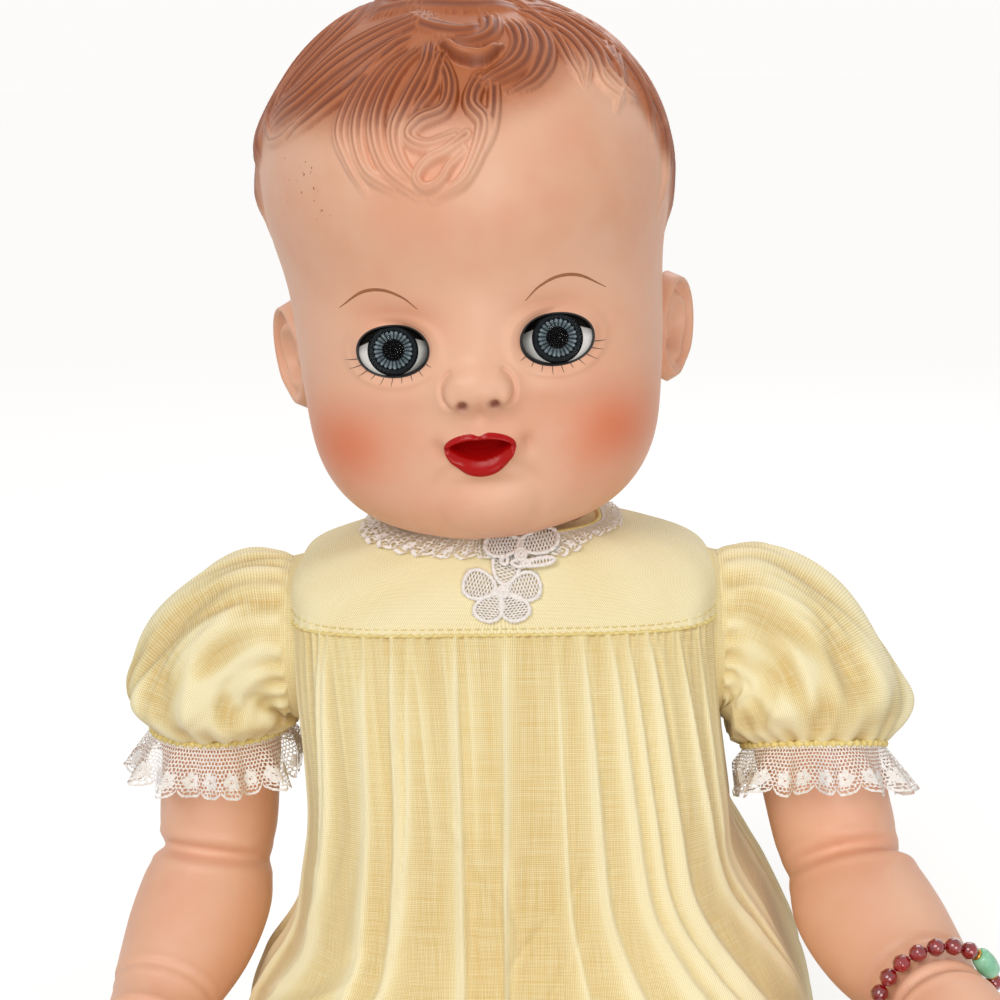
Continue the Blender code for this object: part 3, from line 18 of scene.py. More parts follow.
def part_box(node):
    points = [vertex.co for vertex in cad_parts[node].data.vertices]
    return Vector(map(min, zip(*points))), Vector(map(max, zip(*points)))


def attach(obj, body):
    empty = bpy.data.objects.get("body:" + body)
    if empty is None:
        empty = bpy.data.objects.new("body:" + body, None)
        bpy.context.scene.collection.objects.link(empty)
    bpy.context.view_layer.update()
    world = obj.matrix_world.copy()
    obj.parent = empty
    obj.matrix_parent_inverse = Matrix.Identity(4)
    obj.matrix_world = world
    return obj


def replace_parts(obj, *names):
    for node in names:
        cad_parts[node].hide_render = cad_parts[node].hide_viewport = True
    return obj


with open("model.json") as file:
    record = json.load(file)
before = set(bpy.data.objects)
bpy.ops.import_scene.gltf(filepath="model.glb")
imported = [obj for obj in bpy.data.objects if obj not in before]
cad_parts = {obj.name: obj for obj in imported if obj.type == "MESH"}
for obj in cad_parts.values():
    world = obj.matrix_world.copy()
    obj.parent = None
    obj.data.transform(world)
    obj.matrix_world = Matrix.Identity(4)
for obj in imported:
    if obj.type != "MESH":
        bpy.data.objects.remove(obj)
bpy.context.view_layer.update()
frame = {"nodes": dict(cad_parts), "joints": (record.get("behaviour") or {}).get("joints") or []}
JOINTS = {joint["name"]: joint for joint in frame["joints"]}
TAU = 2 * math.pi
MM = 0.001

# Frames of the head and the camera
NECK = np.array(JOINTS["neck_turn"]["pos_m"])
CHIN_GAP = 0.004
HEAD_LEAN = math.radians(3.4)
LEAN_HEIGHT = -0.040
LEAN = np.array(Matrix.Rotation(-HEAD_LEAN, 3, "Y"))
PIVOT = np.array((0, 0, LEAN_HEIGHT))
HEAD_AT = NECK + np.array((0, 0, CHIN_GAP))
DOLL = np.array((NECK[0], NECK[1] - 0.010, 0.0))
CAMERA_TARGET = Vector((DOLL[0] + 0.0002, 0.0295, 0.2204))
CAMERA_DISTANCE = 0.5997
CAMERA_PITCH = math.radians(12.52)
CAMERA_YAW = math.radians(1.42)
CAMERA_ROLL = math.radians(-1.2)
CAMERA_VIEW = math.radians(26.5)


def from_face(points):
    """Places in the leaning head's own frame, moved to the part's frame."""
    return (np.asarray(points) - PIVOT) @ LEAN.T + PIVOT + HEAD_AT


# Mesh helpers


def linked(name, data):
    """A new object of the scene that shows the given mesh, camera or lamp."""
    obj = bpy.data.objects.new(name, data)
    bpy.context.scene.collection.objects.link(obj)
    return obj


@contextmanager
def edited(obj):
    """An editable copy of a mesh, written back smooth at the end."""
    shape = bmesh.new()
    shape.from_mesh(obj.data)
    yield shape
    shape.to_mesh(obj.data)
    shape.free()
    obj.data.shade_smooth()


def read_points(mesh, what):
    """The places or normals of a mesh, one row per point."""
    values = np.empty(len(mesh.vertices) * 3, np.float32)
    mesh.vertices.foreach_get(what, values)
    return values.reshape(-1, 3).astype(float)


def set_points(obj, place, mirrored=False):
    obj.data.vertices.foreach_set("co", np.asarray(place, np.float32).ravel())
    if mirrored:
        obj.data.flip_normals()
    obj.data.update()


def new_object(name, points, groups, body, material, smooth=True):
    """A mesh piece that rides on a body. Each group of faces is an array with one row of indices per face."""
    mesh = bpy.data.meshes.new(name)
    points = np.asarray(points, np.float32).reshape(-1, 3)
    mesh.vertices.add(len(points))
    mesh.vertices.foreach_set("co", points.ravel())
    groups = [np.asarray(g) for g in groups if len(g)]
    sizes = np.concatenate([np.full(len(g), g.shape[1]) for g in groups])
    flat = np.concatenate([g.ravel() for g in groups])
    mesh.loops.add(len(flat))
    mesh.loops.foreach_set("vertex_index", flat.astype(np.int32))
    mesh.polygons.add(len(sizes))
    starts = np.concatenate([[0], np.cumsum(sizes)[:-1]])
    mesh.polygons.foreach_set("loop_start", starts.astype(np.int32))
    mesh.update(calc_edges=True)
    mesh.validate()
    if smooth:
        mesh.shade_smooth()
    obj = linked(name, mesh)
    mesh.materials.append(material)
    if body:
        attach(obj, body)
    return obj


class Batch:
    """Collects many small shapes into one mesh."""

    def __init__(self):
        self.points, self.groups, self.count = [], [], 0

    def add(self, points, groups):
        points = np.asarray(points, float).reshape(-1, 3)
        self.points.append(points)
        self.groups += [np.asarray(g) + self.count for g in groups]
        self.count += len(points)

    def make(self, name, body, slot, material, smooth=True):
        return new_object(name, np.vstack(self.points), self.groups, body, material, smooth)


def tube(path, radius, sides=8, closed=False):
    """A round cord along a path, as points and groups of faces. The radius may change along it."""
    path = np.asarray(path, float)
    radius = np.broadcast_to(np.asarray(radius, float), len(path))
    if closed:
        tangent = np.roll(path, -1, 0) - np.roll(path, 1, 0)
    else:
        tangent = np.gradient(path, axis=0)
    tangent = normalised(tangent, 1e-12)
    normal = np.array(Vector(tangent[0]).orthogonal().normalized())
    around = np.linspace(0, TAU, sides, endpoint=False)
    rings = []
    for centre, size, along in zip(path, radius, tangent):
        normal = normal - along * (normal @ along)
        normal /= np.linalg.norm(normal)
        side = np.cross(along, normal)
        rings.append(centre + size * (np.cos(around)[:, None] * normal + np.sin(around)[:, None] * side))
    groups = [grid_faces(len(path), sides, wrap_rows=True)] if closed else capped(len(path), sides)
    return np.vstack(rings), groups


def add_attribute(obj, name, values):
    """Stores one number per point, or one colour per point, for the material to read."""
    values = np.asarray(values, np.float32)
    if values.ndim == 1:
        layer = obj.data.attributes.new(name, "FLOAT", "POINT")
        layer.data.foreach_set("value", values)
    else:
        layer = obj.data.attributes.new(name, "FLOAT_COLOR", "POINT")
        layer.data.foreach_set("color", np.column_stack([values, np.ones(len(values))]).ravel())


def grid_faces(rows, columns, wrap_columns=True, wrap_rows=False):
    """Quads over a grid of points, as an array of four indices each."""
    i = np.arange(rows if wrap_rows else rows - 1)
    j = np.arange(columns if wrap_columns else columns - 1)
    i, j = np.meshgrid(i, j, indexing="ij")
    below, beside = (i + 1) % rows, (j + 1) % columns
    here, next_row = i * columns, below * columns
    return np.stack([here + j, here + beside, next_row + beside, next_row + j], -1).reshape(-1, 4)


def capped(rows, columns):
    """Faces of a tube with both ends closed."""
    ring = np.arange(columns)
    return [grid_faces(rows, columns), ring[None, ::-1], ring[None] + (rows - 1) * columns]


def normalised(vectors, least=0.0):
    """Vectors of length 1, one in each row."""
    return vectors / (np.linalg.norm(vectors, axis=-1, keepdims=True) + least)


def smoothstep(low, high, value):
    t = np.clip((value - low) / (high - low), 0, 1)
    return t * t * (3 - 2 * t)


def bump(value, middle, spread):
    return np.exp(-(((value - middle) / spread) ** 2))


def crowded(low, high, count, *peaks):
    """Numbers from low to high that lie closer together round each peak of (focus, spread, extra)."""
    fine = np.linspace(low, high, 2000)
    density = 1
    for focus, spread, extra in peaks:
        density = density + extra * bump(fine, focus, spread)
    filled = np.concatenate([[0], np.cumsum((density[1:] + density[:-1]) / 2)])
    return np.interp(np.linspace(0, filled[-1], count), filled, fine)


def smooth_curve(stations, count):
    """Points along a Catmull-Rom curve through the stations, evenly in parameter."""
    known = np.array(stations, float)
    padded = np.vstack([2 * known[0] - known[1], known, 2 * known[-1] - known[-2]])
    at = np.linspace(0, len(known) - 1, count)
    index = np.minimum(at.astype(int), len(known) - 2)
    t = (at - index)[:, None]
    a, b, c, d = (padded[index + k] for k in range(4))
    return 0.5 * (2 * b + (c - a) * t + (2 * a - 5 * b + 4 * c - d) * t**2 + (3 * b - a - 3 * c + d) * t**3)


# Material helpers


class Shader:
    """A small wrapper that adds and links nodes of one Principled material."""

    def __init__(self, name, roughness):
        self.material = bpy.data.materials.new(name)
        self.material.use_nodes = True
        self.tree = self.material.node_tree
        self.main = self.tree.nodes["Principled BSDF"]
        self.main.inputs["Roughness"].default_value = roughness

    def node(self, kind, **settings):
        made = self.tree.nodes.new(kind)
        for key, value in settings.items():
            setattr(made, key, value)
        return made

    def link(self, source, target):
        self.tree.links.new(source, target)

    def set(self, socket, value):
        self.main.inputs[socket].default_value = value

    def attribute(self, name, output="Fac"):
        return self.node("ShaderNodeAttribute", attribute_name=name).outputs[output]

    def place(self):
        return self.node("ShaderNodeTexCoord").outputs["Object"]

    def noise(self, scale, detail=3.0):
        made = self.node("ShaderNodeTexNoise")
        for socket, value in (("Scale", scale), ("Detail", detail), ("Roughness", 0.55)):
            made.inputs[socket].default_value = value
        self.link(self.place(), made.inputs["Vector"])
        return made.outputs["Fac"]

    def math(self, operation, a, b=0.0):
        made = self.node("ShaderNodeMath", operation=operation)
        for socket, value in zip(made.inputs, (a, b)):
            if isinstance(value, (int, float)):
                socket.default_value = value
            else:
                self.link(value, socket)
        return made.outputs[0]

    def ramp(self, value, low, high, to_low=0.0, to_high=1.0):
        made = self.node("ShaderNodeMapRange", interpolation_type="SMOOTHSTEP")
        self.link(value, made.inputs["Value"])
        for socket, number in zip(("From Min", "From Max", "To Min", "To Max"), (low, high, to_low, to_high)):
            made.inputs[socket].default_value = number
        return made.outputs["Result"]

    def mix(self, factor, a, b):
        made = self.node("ShaderNodeMix", data_type="RGBA")
        for socket, value in ((made.inputs["Factor"], factor), (made.inputs["A"], a), (made.inputs["B"], b)):
            if isinstance(value, tuple):
                socket.default_value = (*value, 1.0)
            elif isinstance(value, (int, float)):
                socket.default_value = value
            else:
                self.link(value, socket)
        return made.outputs["Result"]

    def colour(self, value):
        if isinstance(value, tuple):
            self.main.inputs["Base Color"].default_value = (*value, 1.0)
        else:
            self.link(value, self.main.inputs["Base Color"])

    def bump(self, height, strength, distance):
        made = self.node("ShaderNodeBump")
        made.inputs["Strength"].default_value = strength
        made.inputs["Distance"].default_value = distance
        self.link(height, made.inputs["Height"])
        self.link(made.outputs["Normal"], self.main.inputs["Normal"])


def srgb(red, green, blue):
    """Linear colour from the 0 to 255 values of a screen colour."""
    def linear(value):
        value /= 255
        return value / 12.92 if value <= 0.04045 else ((value + 0.055) / 1.055) ** 2.4
    return linear(red), linear(green), linear(blue)


SKIN = srgb(231, 181, 152)
SKIN_WARM = srgb(222, 150, 112)
BLUSH = srgb(212, 98, 46)
HAIR = srgb(142, 68, 30)
# Darker brown in the hair grooves: darker paint lying there, and painted shade
HAIR_DARK_AND_SHADE = srgb(92, 38, 16)
HAIR_LIGHT = srgb(170, 96, 54)
# Lighter on the hair crests: paint rubbed thin there, and a painted highlight
HAIR_CREST_RUB_AND_HIGHLIGHT = srgb(204, 126, 78)
LIP = srgb(172, 4, 4)
# Darker red deeper in the mouth opening: painted shade
MOUTH_SHADE = srgb(142, 4, 5)
# Painted shade over the eye sockets, where it is also a sprayed eye shadow, and in the dimples at the mouth
# corners
SHADE_AND_EYE_SHADOW = srgb(190, 118, 82)
GROOVE_SHADE = srgb(198, 130, 92)
NOSTRIL = srgb(120, 46, 22)
# Painted shade on the rims of the eye openings
EYE_RIM_SHADE = srgb(20, 15, 13)
CLOTH = srgb(238, 218, 158)
CLOTH_PALE = srgb(250, 239, 196)
CLOTH_DEEP = srgb(226, 196, 128)
THREAD_PITCH = 0.5


# Head form, the same as in the solid: a soft union of ellipsoids, read along rays

HEAD_WIDTH, HEAD_DEPTH, HEAD_HEIGHT = 0.1206, 0.1300, 0.1530
CHEEK_WIDTH, FACE_DEPTH = 0.0965, 0.056
EYE_HEIGHT, EYE_SPACING = 0.0572, 0.0458
MOUTH_HEIGHT, NOSE_HEIGHT, NOSE_WIDTH = 0.0297, 0.0460, 0.0185
EAR_HEIGHT, EAR_LENGTH, EAR_BACK = 0.050, 0.0335, 0.006
HEAD_MIDDLE = np.array((0.0, -0.004, 0.066))
FORM_SOFTNESS, DETAIL_SOFTNESS = 0.0045, 0.0022
EYE_HALF_WIDTH, EYE_HALF_HEIGHT, EYE_POWER = 0.0100, 0.0071, 2.1
MOUTH_HALF = 0.0101
FACE_FROM, PAINT_FROM = -0.015, -0.03  # y in front of which the face is formed, and painted


def head_forms():
    """Skull, face, chin, jaw and cheeks as (middle, radii)."""
    skull_half = HEAD_HEIGHT * 0.342
    forms = [
        ((-0.0008, 0.002, HEAD_HEIGHT - skull_half), (HEAD_WIDTH / 2, HEAD_DEPTH / 2, skull_half)),
        ((0, 0.042 - FACE_DEPTH, 0.052), (0.0505, 0.042, 0.0445)),
        ((0, 0.020 - FACE_DEPTH, 0.0130), (0.0200, 0.0165, 0.0130)),
        ((0, 0.006, 0.041), (0.0490, 0.042, 0.0390)),
        ((0, 0.004, 0.068), (0.0512, 0.050, 0.0340)),
    ]
    for side in (1, -1):
        cheek = (side * (CHEEK_WIDTH / 2 - 0.030), 0.031 - FACE_DEPTH, 0.0300)
        forms.append((cheek, (0.030, 0.0255, 0.0285)))
    return forms


def face_details():
    """Nose and muzzle as (middle, radii)."""
    tip = -FACE_DEPTH
    details = [
        ((0, tip + 0.0002, NOSE_HEIGHT), (NOSE_WIDTH * 0.38, 0.0070, 0.0062)),
        ((0, tip + 0.0058, NOSE_HEIGHT + 0.009), (0.0050, 0.0060, 0.0095)),
        ((0, tip + 0.0075, MOUTH_HEIGHT + 0.001), (0.0150, 0.0095, 0.0115)),
    ]
    for side in (1, -1):
        wing = (side * NOSE_WIDTH * 0.33, tip + 0.0030, NOSE_HEIGHT - 0.0012)
        details.append((wing, (NOSE_WIDTH * 0.19, 0.0055, 0.0044)))
    return details


def soft_distance(points, forms, softness):
    """Distance to a smooth union of ellipsoids, below 0 inside."""
    total = 0.0
    for centre, radii in forms:
        scaled = (points - np.array(centre)) / np.array(radii)
        distance = (np.sqrt((scaled**2).sum(-1)) - 1) * min(radii)
        total = total + np.exp(-distance / softness)
    return -softness * np.log(total)


def head_distance(points, detailed=True):
    form = soft_distance(points, head_forms(), FORM_SOFTNESS)
    if not detailed:
        return form
    details = soft_distance(points, face_details(), DETAIL_SOFTNESS)
    joined = np.exp(-form / DETAIL_SOFTNESS) + np.exp(-details / DETAIL_SOFTNESS)
    return -DETAIL_SOFTNESS * np.log(joined)


def first_outside(start, directions, detailed=True):
    """How far each ray goes before it leaves the head."""
    near = np.full(directions.shape[:-1], 0.0)
    far = near + 0.11
    for _ in range(24):
        middle = (near + far) / 2
        inside = head_distance(start + directions * middle[..., None], detailed) < 0
        near = np.where(inside, middle, near)
        far = np.where(inside, far, middle)
    return near


def mouth_fields(x, z):
    """Height of the lips over the face, and how far inside the painted lip line a point is (in metres)."""
    x = x + 0.0007
    u = np.clip(np.abs(x) / MOUTH_HALF, 0, 1.4)
    v = z - MOUTH_HEIGHT
    inside = np.clip(1 - u**2, 0, None)
    peak = 0.0044 * inside**0.50 - 0.0010 * bump(x, 0, 0.0016) - 0.0002
    trough = -0.0087 * inside**0.60
    inner = np.clip(1 - (u / 0.86) ** 2, 0, None)
    roof, floor = 0.0024 * inner**0.6, -0.0046 * inner**0.75
    upper = np.clip((v - roof) / np.maximum(peak - roof, 1e-4), 0, 1)
    lower = np.clip((floor - v) / np.maximum(floor - trough, 1e-4), 0, 1)
    lift = 0.0013 * np.sin(np.pi * upper) ** 0.8 * (v > roof) * (inside > 0)
    lift = lift + 0.0017 * np.sin(np.pi * lower) ** 0.8 * (v < floor) * (inside > 0)
    opening = np.minimum(roof - v, v - floor)
    depth = smoothstep(0, 0.0012, opening) * (inner > 0)
    tongue = bump(x, 0, 0.0048) * bump(v, -0.0022, 0.0018)
    lift = lift - depth * (0.0034 - 0.0010 * tongue)
    painted = np.minimum(peak - v, v - trough)
    painted = np.where(u < 1, painted, -(u - 1) * MOUTH_HALF - 0.0004)
    return lift, painted, depth


# Lift, then the sideways place and its spread, then the height and its spread
FACE_RELIEF = (
    (-0.0016, 0.0215, 0.0125, EYE_HEIGHT + 0.0040, 0.0095),  # eye sockets
    (0.0010, 0.0240, 0.0120, EYE_HEIGHT - 0.0125, 0.0045),  # pads under the eyes
    (-0.0014, 0.0126, 0.0022, MOUTH_HEIGHT - 0.0008, 0.0030),  # corners of the mouth
    (-0.0008, 0.0, 0.0016, MOUTH_HEIGHT + 0.0095, 0.0030),  # groove under the nose
    (-0.0016, 0.0, 0.0085, MOUTH_HEIGHT - 0.0118, 0.0026),  # hollow under the lip
    (-0.0022, 0.0046, 0.0012, NOSE_HEIGHT - 0.0042, 0.0011),  # nostrils
)


def face_shift(p):
    """How far each point of the head moves out along its ray: sockets, lids, lips, dimples and nostrils."""
    x, y, z = p[..., 0], p[..., 1], p[..., 2]
    side = np.abs(x)
    shift = 0.0
    for lift, at, wide, height, tall in FACE_RELIEF:
        shift = shift + lift * bump(side, at, wide) * bump(z, height, tall)
    reach = eye_reach(x, z)
    lid = np.clip((reach - 1) / 0.16, 0, 1)
    shift = shift - 0.0009 * (1 - lid) ** 2 + 0.0006 * bump(reach, 1.30, 0.16)
    shift = shift + mouth_fields(x, z)[0]
    chin = np.hypot(x, (z - 0.0128) * 1.15)
    shift = shift + 0.0012 * bump(chin, 0, 0.0085) - 0.0006 * bump(chin, 0.0150, 0.0022)
    wing = np.hypot(side - 0.0046, (z - NOSE_HEIGHT + 0.0006) * 0.92)
    outer, above = smoothstep(0.0060, 0.0080, side), smoothstep(-0.0058, -0.0035, z - NOSE_HEIGHT)
    shift = shift - 0.0013 * bump(wing, 0.0056, 0.0008) * outer * above
    shift = shift + 0.0006 * bump(wing, 0.0036, 0.0014) * smoothstep(0.003, 0.006, side)
    return np.where(y < FACE_FROM, shift, 0)


def lid_shift(points, rays):
    """Lifts the skin round each eye so that it clears the eyeball."""
    eye_y = JOINTS["eyes_rock"]["pos_m"][1] - HEAD_AT[1]
    x, y, z = points[..., 0], points[..., 1], points[..., 2]
    gap = np.stack([np.abs(x) - EYE_SPACING / 2, y - eye_y, z - EYE_HEIGHT], -1)
    flip = np.where(points[..., :1] < 0, -1.0, 1.0) * (1, 0, 0) + np.array((0, 1, 1))
    distance = np.linalg.norm(gap, axis=-1) + 1e-9
    facing = np.clip((gap * flip * rays).sum(-1) / distance, 0.45, 1)
    push = 0.0005 * np.log1p(np.exp(np.clip((EYE_RADIUS + 0.0008 - distance) / 0.0005, -30, 30)))
    return np.where(y < FACE_FROM, push / facing, 0)


def eye_reach(x, z):
    """1 on the edge of the eye opening, less inside and more outside."""
    across = np.abs(np.abs(x) - EYE_SPACING / 2) / EYE_HALF_WIDTH
    up = np.abs(z - EYE_HEIGHT) / EYE_HALF_HEIGHT
    return (across**EYE_POWER + up**EYE_POWER) ** (1 / EYE_POWER)


HEAD_COLUMNS, HEAD_ROWS = 760, 520


def head_points():
    """A grid over the head, closer together at the face and at the hair over the forehead."""
    around = crowded(-math.pi, math.pi, HEAD_COLUMNS + 1, (0.1, 1.0, 2.0))[:-1]
    down = crowded(0, math.pi, HEAD_ROWS + 2, (1.85, 0.45, 1.5), (0.78, 0.40, 1.6))[1:-1]
    a, d = np.meshgrid(around, down)
    rays = np.stack([np.sin(d) * np.sin(a), -np.sin(d) * np.cos(a), np.cos(d)], axis=-1)
    reach = first_outside(HEAD_MIDDLE, rays)
    return HEAD_MIDDLE + rays * reach[..., None], rays


def cut_grid(points, value, quads):
    """Moves points beside the line where value is 0 on to it, and keeps the faces where value is above 0."""
    flat, value = points.reshape(-1, 3).copy(), value.ravel()
    pairs = np.concatenate([quads[:, [k, (k + 1) % 4]] for k in range(4)])
    pairs = np.unique(np.sort(pairs[value[pairs[:, 0]] * value[pairs[:, 1]] < 0], axis=1), axis=0)
    at = value[pairs[:, 0]] / (value[pairs[:, 0]] - value[pairs[:, 1]])
    place = flat[pairs[:, 0]] * (1 - at)[:, None] + flat[pairs[:, 1]] * at[:, None]
    chosen = np.where(at < 0.5, pairs[:, 0], pairs[:, 1])
    state = np.sign(value).astype(int)
    for k in np.argsort(-np.minimum(at, 1 - at)):
        flat[chosen[k]] = place[k]
        state[chosen[k]] = 0
    corner = state[quads]
    keep = quads[(corner >= 0).all(1) & (corner > 0).any(1)]
    mixed = quads[(corner.min(1) < 0) & (corner.max(1) > 0)]
    halves = [quad[state[quad] >= 0] for quad in mixed]
    halves = [half for half in halves if len(half) == 3]
    return flat, [keep, np.array(halves).reshape(-1, 3).astype(int)]


# Moulded hair: each lock is a centre line of (azimuth, elevation) in degrees round the middle of the head,
# half widths in mm at its start, middle and end, its number of strands and its height in mm

FRONT_LOCKS = (
    (((-8, 73), (-30, 68), (-48, 60), (-60, 51), (-78, 44)), (4.0, 7.5, 4.0), 6, 2.2),
    (((-17, 66), (-29, 59), (-39, 52), (-50, 46), (-60, 42)), (2.5, 4.0, 2.0), 3, 1.9),
    (((-53, 46), (-62, 42), (-72, 41), (-80, 44), (-76, 47)), (1.2, 1.8, 1.0), 2, 1.7),
    (((-24, 62), (-33, 51), (-35, 43), (-31, 37), (-26, 31)), (1.4, 2.5, 1.2), 3, 1.7),
    (((-17, 62), (-27, 52), (-29, 43), (-25, 35), (-17, 31)), (1.6, 2.7, 1.6), 3, 2.0),
    (((-12, 62), (-21, 52), (-23, 43), (-19, 35), (-11, 30)), (1.6, 2.6, 1.8), 3, 2.1),
    (((-9, 63), (-9, 56), (-14, 48), (-17, 42), (-15, 36), (-9, 30)), (1.8, 2.6, 1.6), 3, 2.2),
    (((-4, 58), (-1, 51), (-3, 46), (-10, 44), (-13, 41), (-8, 39), (0, 41)), (1.8, 2.4, 1.6), 3, 2.3),
    (((9, 53), (5, 47), (8, 43), (6, 38), (1, 32), (-7, 29)), (2.2, 2.4, 1.4), 3, 2.1),
    (((13, 52), (11, 45), (8, 39), (3, 34)), (1.6, 2.0, 1.0), 2, 1.6),
    (((3, 41), (-2, 38), (-8, 36), (-11, 33), (-9, 31), (-5, 32), (-2, 35), (2, 38)),
     (1.5, 1.5, 1.2), 2, 2.5),
    (((32, 68), (29, 61), (23, 56), (15, 53), (7, 51)), (3.0, 3.4, 2.0), 4, 2.0),
    (((42, 68), (38, 60), (32, 55), (25, 51), (17, 49)), (3.0, 3.0, 1.4), 3, 1.8),
    (((50, 66), (46, 59), (44, 54), (44, 49)), (2.4, 2.4, 1.2), 3, 1.6),
    (((56, 68), (58, 61), (56, 54), (53, 49), (58, 46), (64, 49)), (2.6, 2.6, 1.4), 3, 1.9),
    (((66, 66), (67, 56), (63, 49), (53, 43)), (2.6, 2.8, 1.2), 3, 1.9),
    (((52, 74), (74, 65), (79, 55), (76, 45), (70, 36)), (3.6, 4.2, 1.8), 4, 2.0),
    (((85, 70), (94, 60), (93, 49), (83, 38), (77, 28), (72, 20)), (4.0, 4.6, 1.6), 4, 2.0),
    (((22, 70), (17, 64), (8, 61.5), (-4, 62)), (3.0, 2.6, 1.6), 3, 2.4),
    (((-4, 62), (3, 58), (11, 57), (19, 60)), (1.0, 1.9, 1.0), 1, 3.4),
    (((-66, 72), (-38, 77), (12, 75), (52, 73)), (3.0, 4.2, 3.0), 3, 2.6),
    (((-30, 74), (-18, 70), (-6, 67), (6, 65.5), (16, 67.5)), (2.0, 3.2, 2.0), 3, 2.0),
    (((-3, 60), (-6, 55), (-8, 50), (-13, 45)), (1.4, 3.0, 1.4), 3, 1.8),
    (((46, 72), (48, 65), (52, 60), (50, 54), (46, 50)), (2.2, 2.8, 1.2), 3, 2.2),
    (((60, 72), (64, 63), (62, 56), (58, 51), (62, 46), (68, 45)), (2.4, 3.0, 1.4), 3, 2.2),
)
CROWN = (170, 74)
HAIRLINE = ((-180, -28), (-135, -18), (-112, 6), (-96, 22), (-86, 40), (-60, 45), (-36, 52), (-20, 60),
            (0, 58), (20, 55), (36, 58), (46, 60), (62, 52), (76, 36), (90, 22), (112, 6), (135, -18),
            (180, -28))
PAINT_LINE = ((-180, -26), (-135, -15), (-112, 8), (-96, 26), (-84, 42), (-55, 45), (-37, 45), (-15, 44.5),
              (-3, 44), (10, 44.5), (14, 46), (24, 48), (36, 52), (46, 55), (56, 53), (64, 47), (71, 39),
              (78, 31), (90, 20), (112, 8), (135, -15), (180, -26))
HEAD_REACH, FRONT_LIFT = 62.0, 1.15  # mm from the middle to the hair, and how much the front stands up


def unit(azimuth, elevation):
    """Directions from the middle of the head, in degrees."""
    a, e = np.radians(azimuth), np.radians(elevation)
    return np.stack([np.cos(e) * np.sin(a), -np.cos(e) * np.cos(a), np.sin(e)], axis=-1)


def back_locks():
    """Waves that run from the crown over the top, the sides and the back to the hairline."""
    locks = []
    table = np.array(HAIRLINE, float)
    crown = unit(*CROWN)
    for index, azimuth in enumerate(np.arange(-180, 180, 11.25)):
        front = abs(azimuth) < 62
        end_height = 71 if front else np.interp(azimuth, table[:, 0], table[:, 1]) - 1
        end = unit(azimuth, end_height)
        along = np.linspace(0.10, 1.0, 9)
        base = crown * (1 - along)[:, None] + end * along[:, None]
        base = normalised(base)
        across = np.cross(base, end - crown)
        across = normalised(across, 1e-9)
        sway = 0.060 * np.sin(along * 9.5 + index * 2.1) * np.minimum(1, along * 2)
        path = base + across * sway[:, None]
        widths = (1.6, 4.2, 1.6) if front else (1.6, 6.0, 3.2)
        locks.append((path, widths, 4 if index % 2 else 5, 1.5 + 0.5 * (index % 3)))
    for index, azimuth in enumerate(np.arange(86, 276, 13.5)):
        low = np.interp((azimuth + 180) % 360 - 180, table[:, 0], table[:, 1])
        heights = np.linspace(low + 34, low - 2, 6)
        sway = 5.5 * np.sin(np.linspace(0, 4.4, 6) + index * 1.7)
        locks.append((unit(azimuth + sway, heights), (2.0, 5.0, 1.8), 4, 2.2))
    return locks


def beside_path(path, place):
    """How far to the side of a path each place lies, and its share of the way along."""
    best = np.full(len(place), 9.0)
    offset, share = np.zeros(len(place)), np.zeros(len(place))
    for k in range(len(path) - 1):
        step = path[k + 1] - path[k]
        t = np.clip(((place - path[k]) @ step) / (step @ step), 0, 1)
        gap = place - (path[k] + t[:, None] * step)
        distance = np.linalg.norm(gap, axis=1)
        closer = distance < best
        best = np.where(closer, distance, best)
        across = np.cross(path[k], step / np.linalg.norm(step))
        offset = np.where(closer, np.sign(gap @ across) * distance, offset)
        share = np.where(closer, (k + t) / (len(path) - 1), share)
    return offset, share


def hair_fields(rays):
    """Lift of the hair in metres, how deep in a groove each point is, and how much paint it carries."""
    flat = rays.reshape(-1, 3)
    azimuth = np.degrees(np.arctan2(flat[:, 0], -flat[:, 1]))
    elevation = np.degrees(np.arcsin(np.clip(flat[:, 2], -1, 1)))
    hairline = np.interp(azimuth, *np.array(HAIRLINE, float).T)
    lift = 0.45 * smoothstep(-2.0, 3.0, elevation - hairline)
    groove = np.zeros(len(flat))
    front = [(unit(*np.array(line, float).T), wide, strands, FRONT_LIFT * high)
             for line, wide, strands, high in FRONT_LOCKS]
    for line, wide, strands, high in back_locks() + front:
        path = smooth_curve(line, 34)
        path = normalised(path)
        middle = path.mean(0) / np.linalg.norm(path.mean(0))
        cap = math.cos(math.acos(float((path @ middle).min())) + max(wide) / HEAD_REACH + 0.02)
        near = np.nonzero(flat @ middle > cap)[0]
        offset, share = beside_path(path, flat[near])
        half = np.interp(share, (0, 0.5, 1), wide) / HEAD_REACH
        u = offset / half
        inside = np.abs(u) < 1
        taper = smoothstep(-0.02, 0.14, share) * smoothstep(1.02, 0.80, share)
        strand = np.abs(np.sin(math.pi * strands * (u + 1) / 2)) ** 1.1
        crest = np.clip(1 - u**2, 0, 1) ** 0.8
        cut = (1 - strand) * crest**0.5 if strands > 1 else 0.0
        height = high * (0.35 + 0.65 * taper) * crest - cut
        higher = inside & (height > lift[near] * 0.98)
        lift[near[higher]] = height[higher]
        groove[near[higher]] = ((1 - strand) * (0.5 + 0.5 * crest) + 0.55 * np.abs(u) ** 6)[higher]
    paint_line = np.interp(azimuth, *np.array(PAINT_LINE, float).T)
    paint = smoothstep(-10.0, 8.0, elevation - paint_line)
    lift = lift + 2.0 * bump(azimuth, -94, 20) * smoothstep(-2.0, 6.0, elevation - hairline)
    return [field.reshape(rays.shape[:2]) for field in (lift * MM, np.clip(groove, 0, 1), paint)]


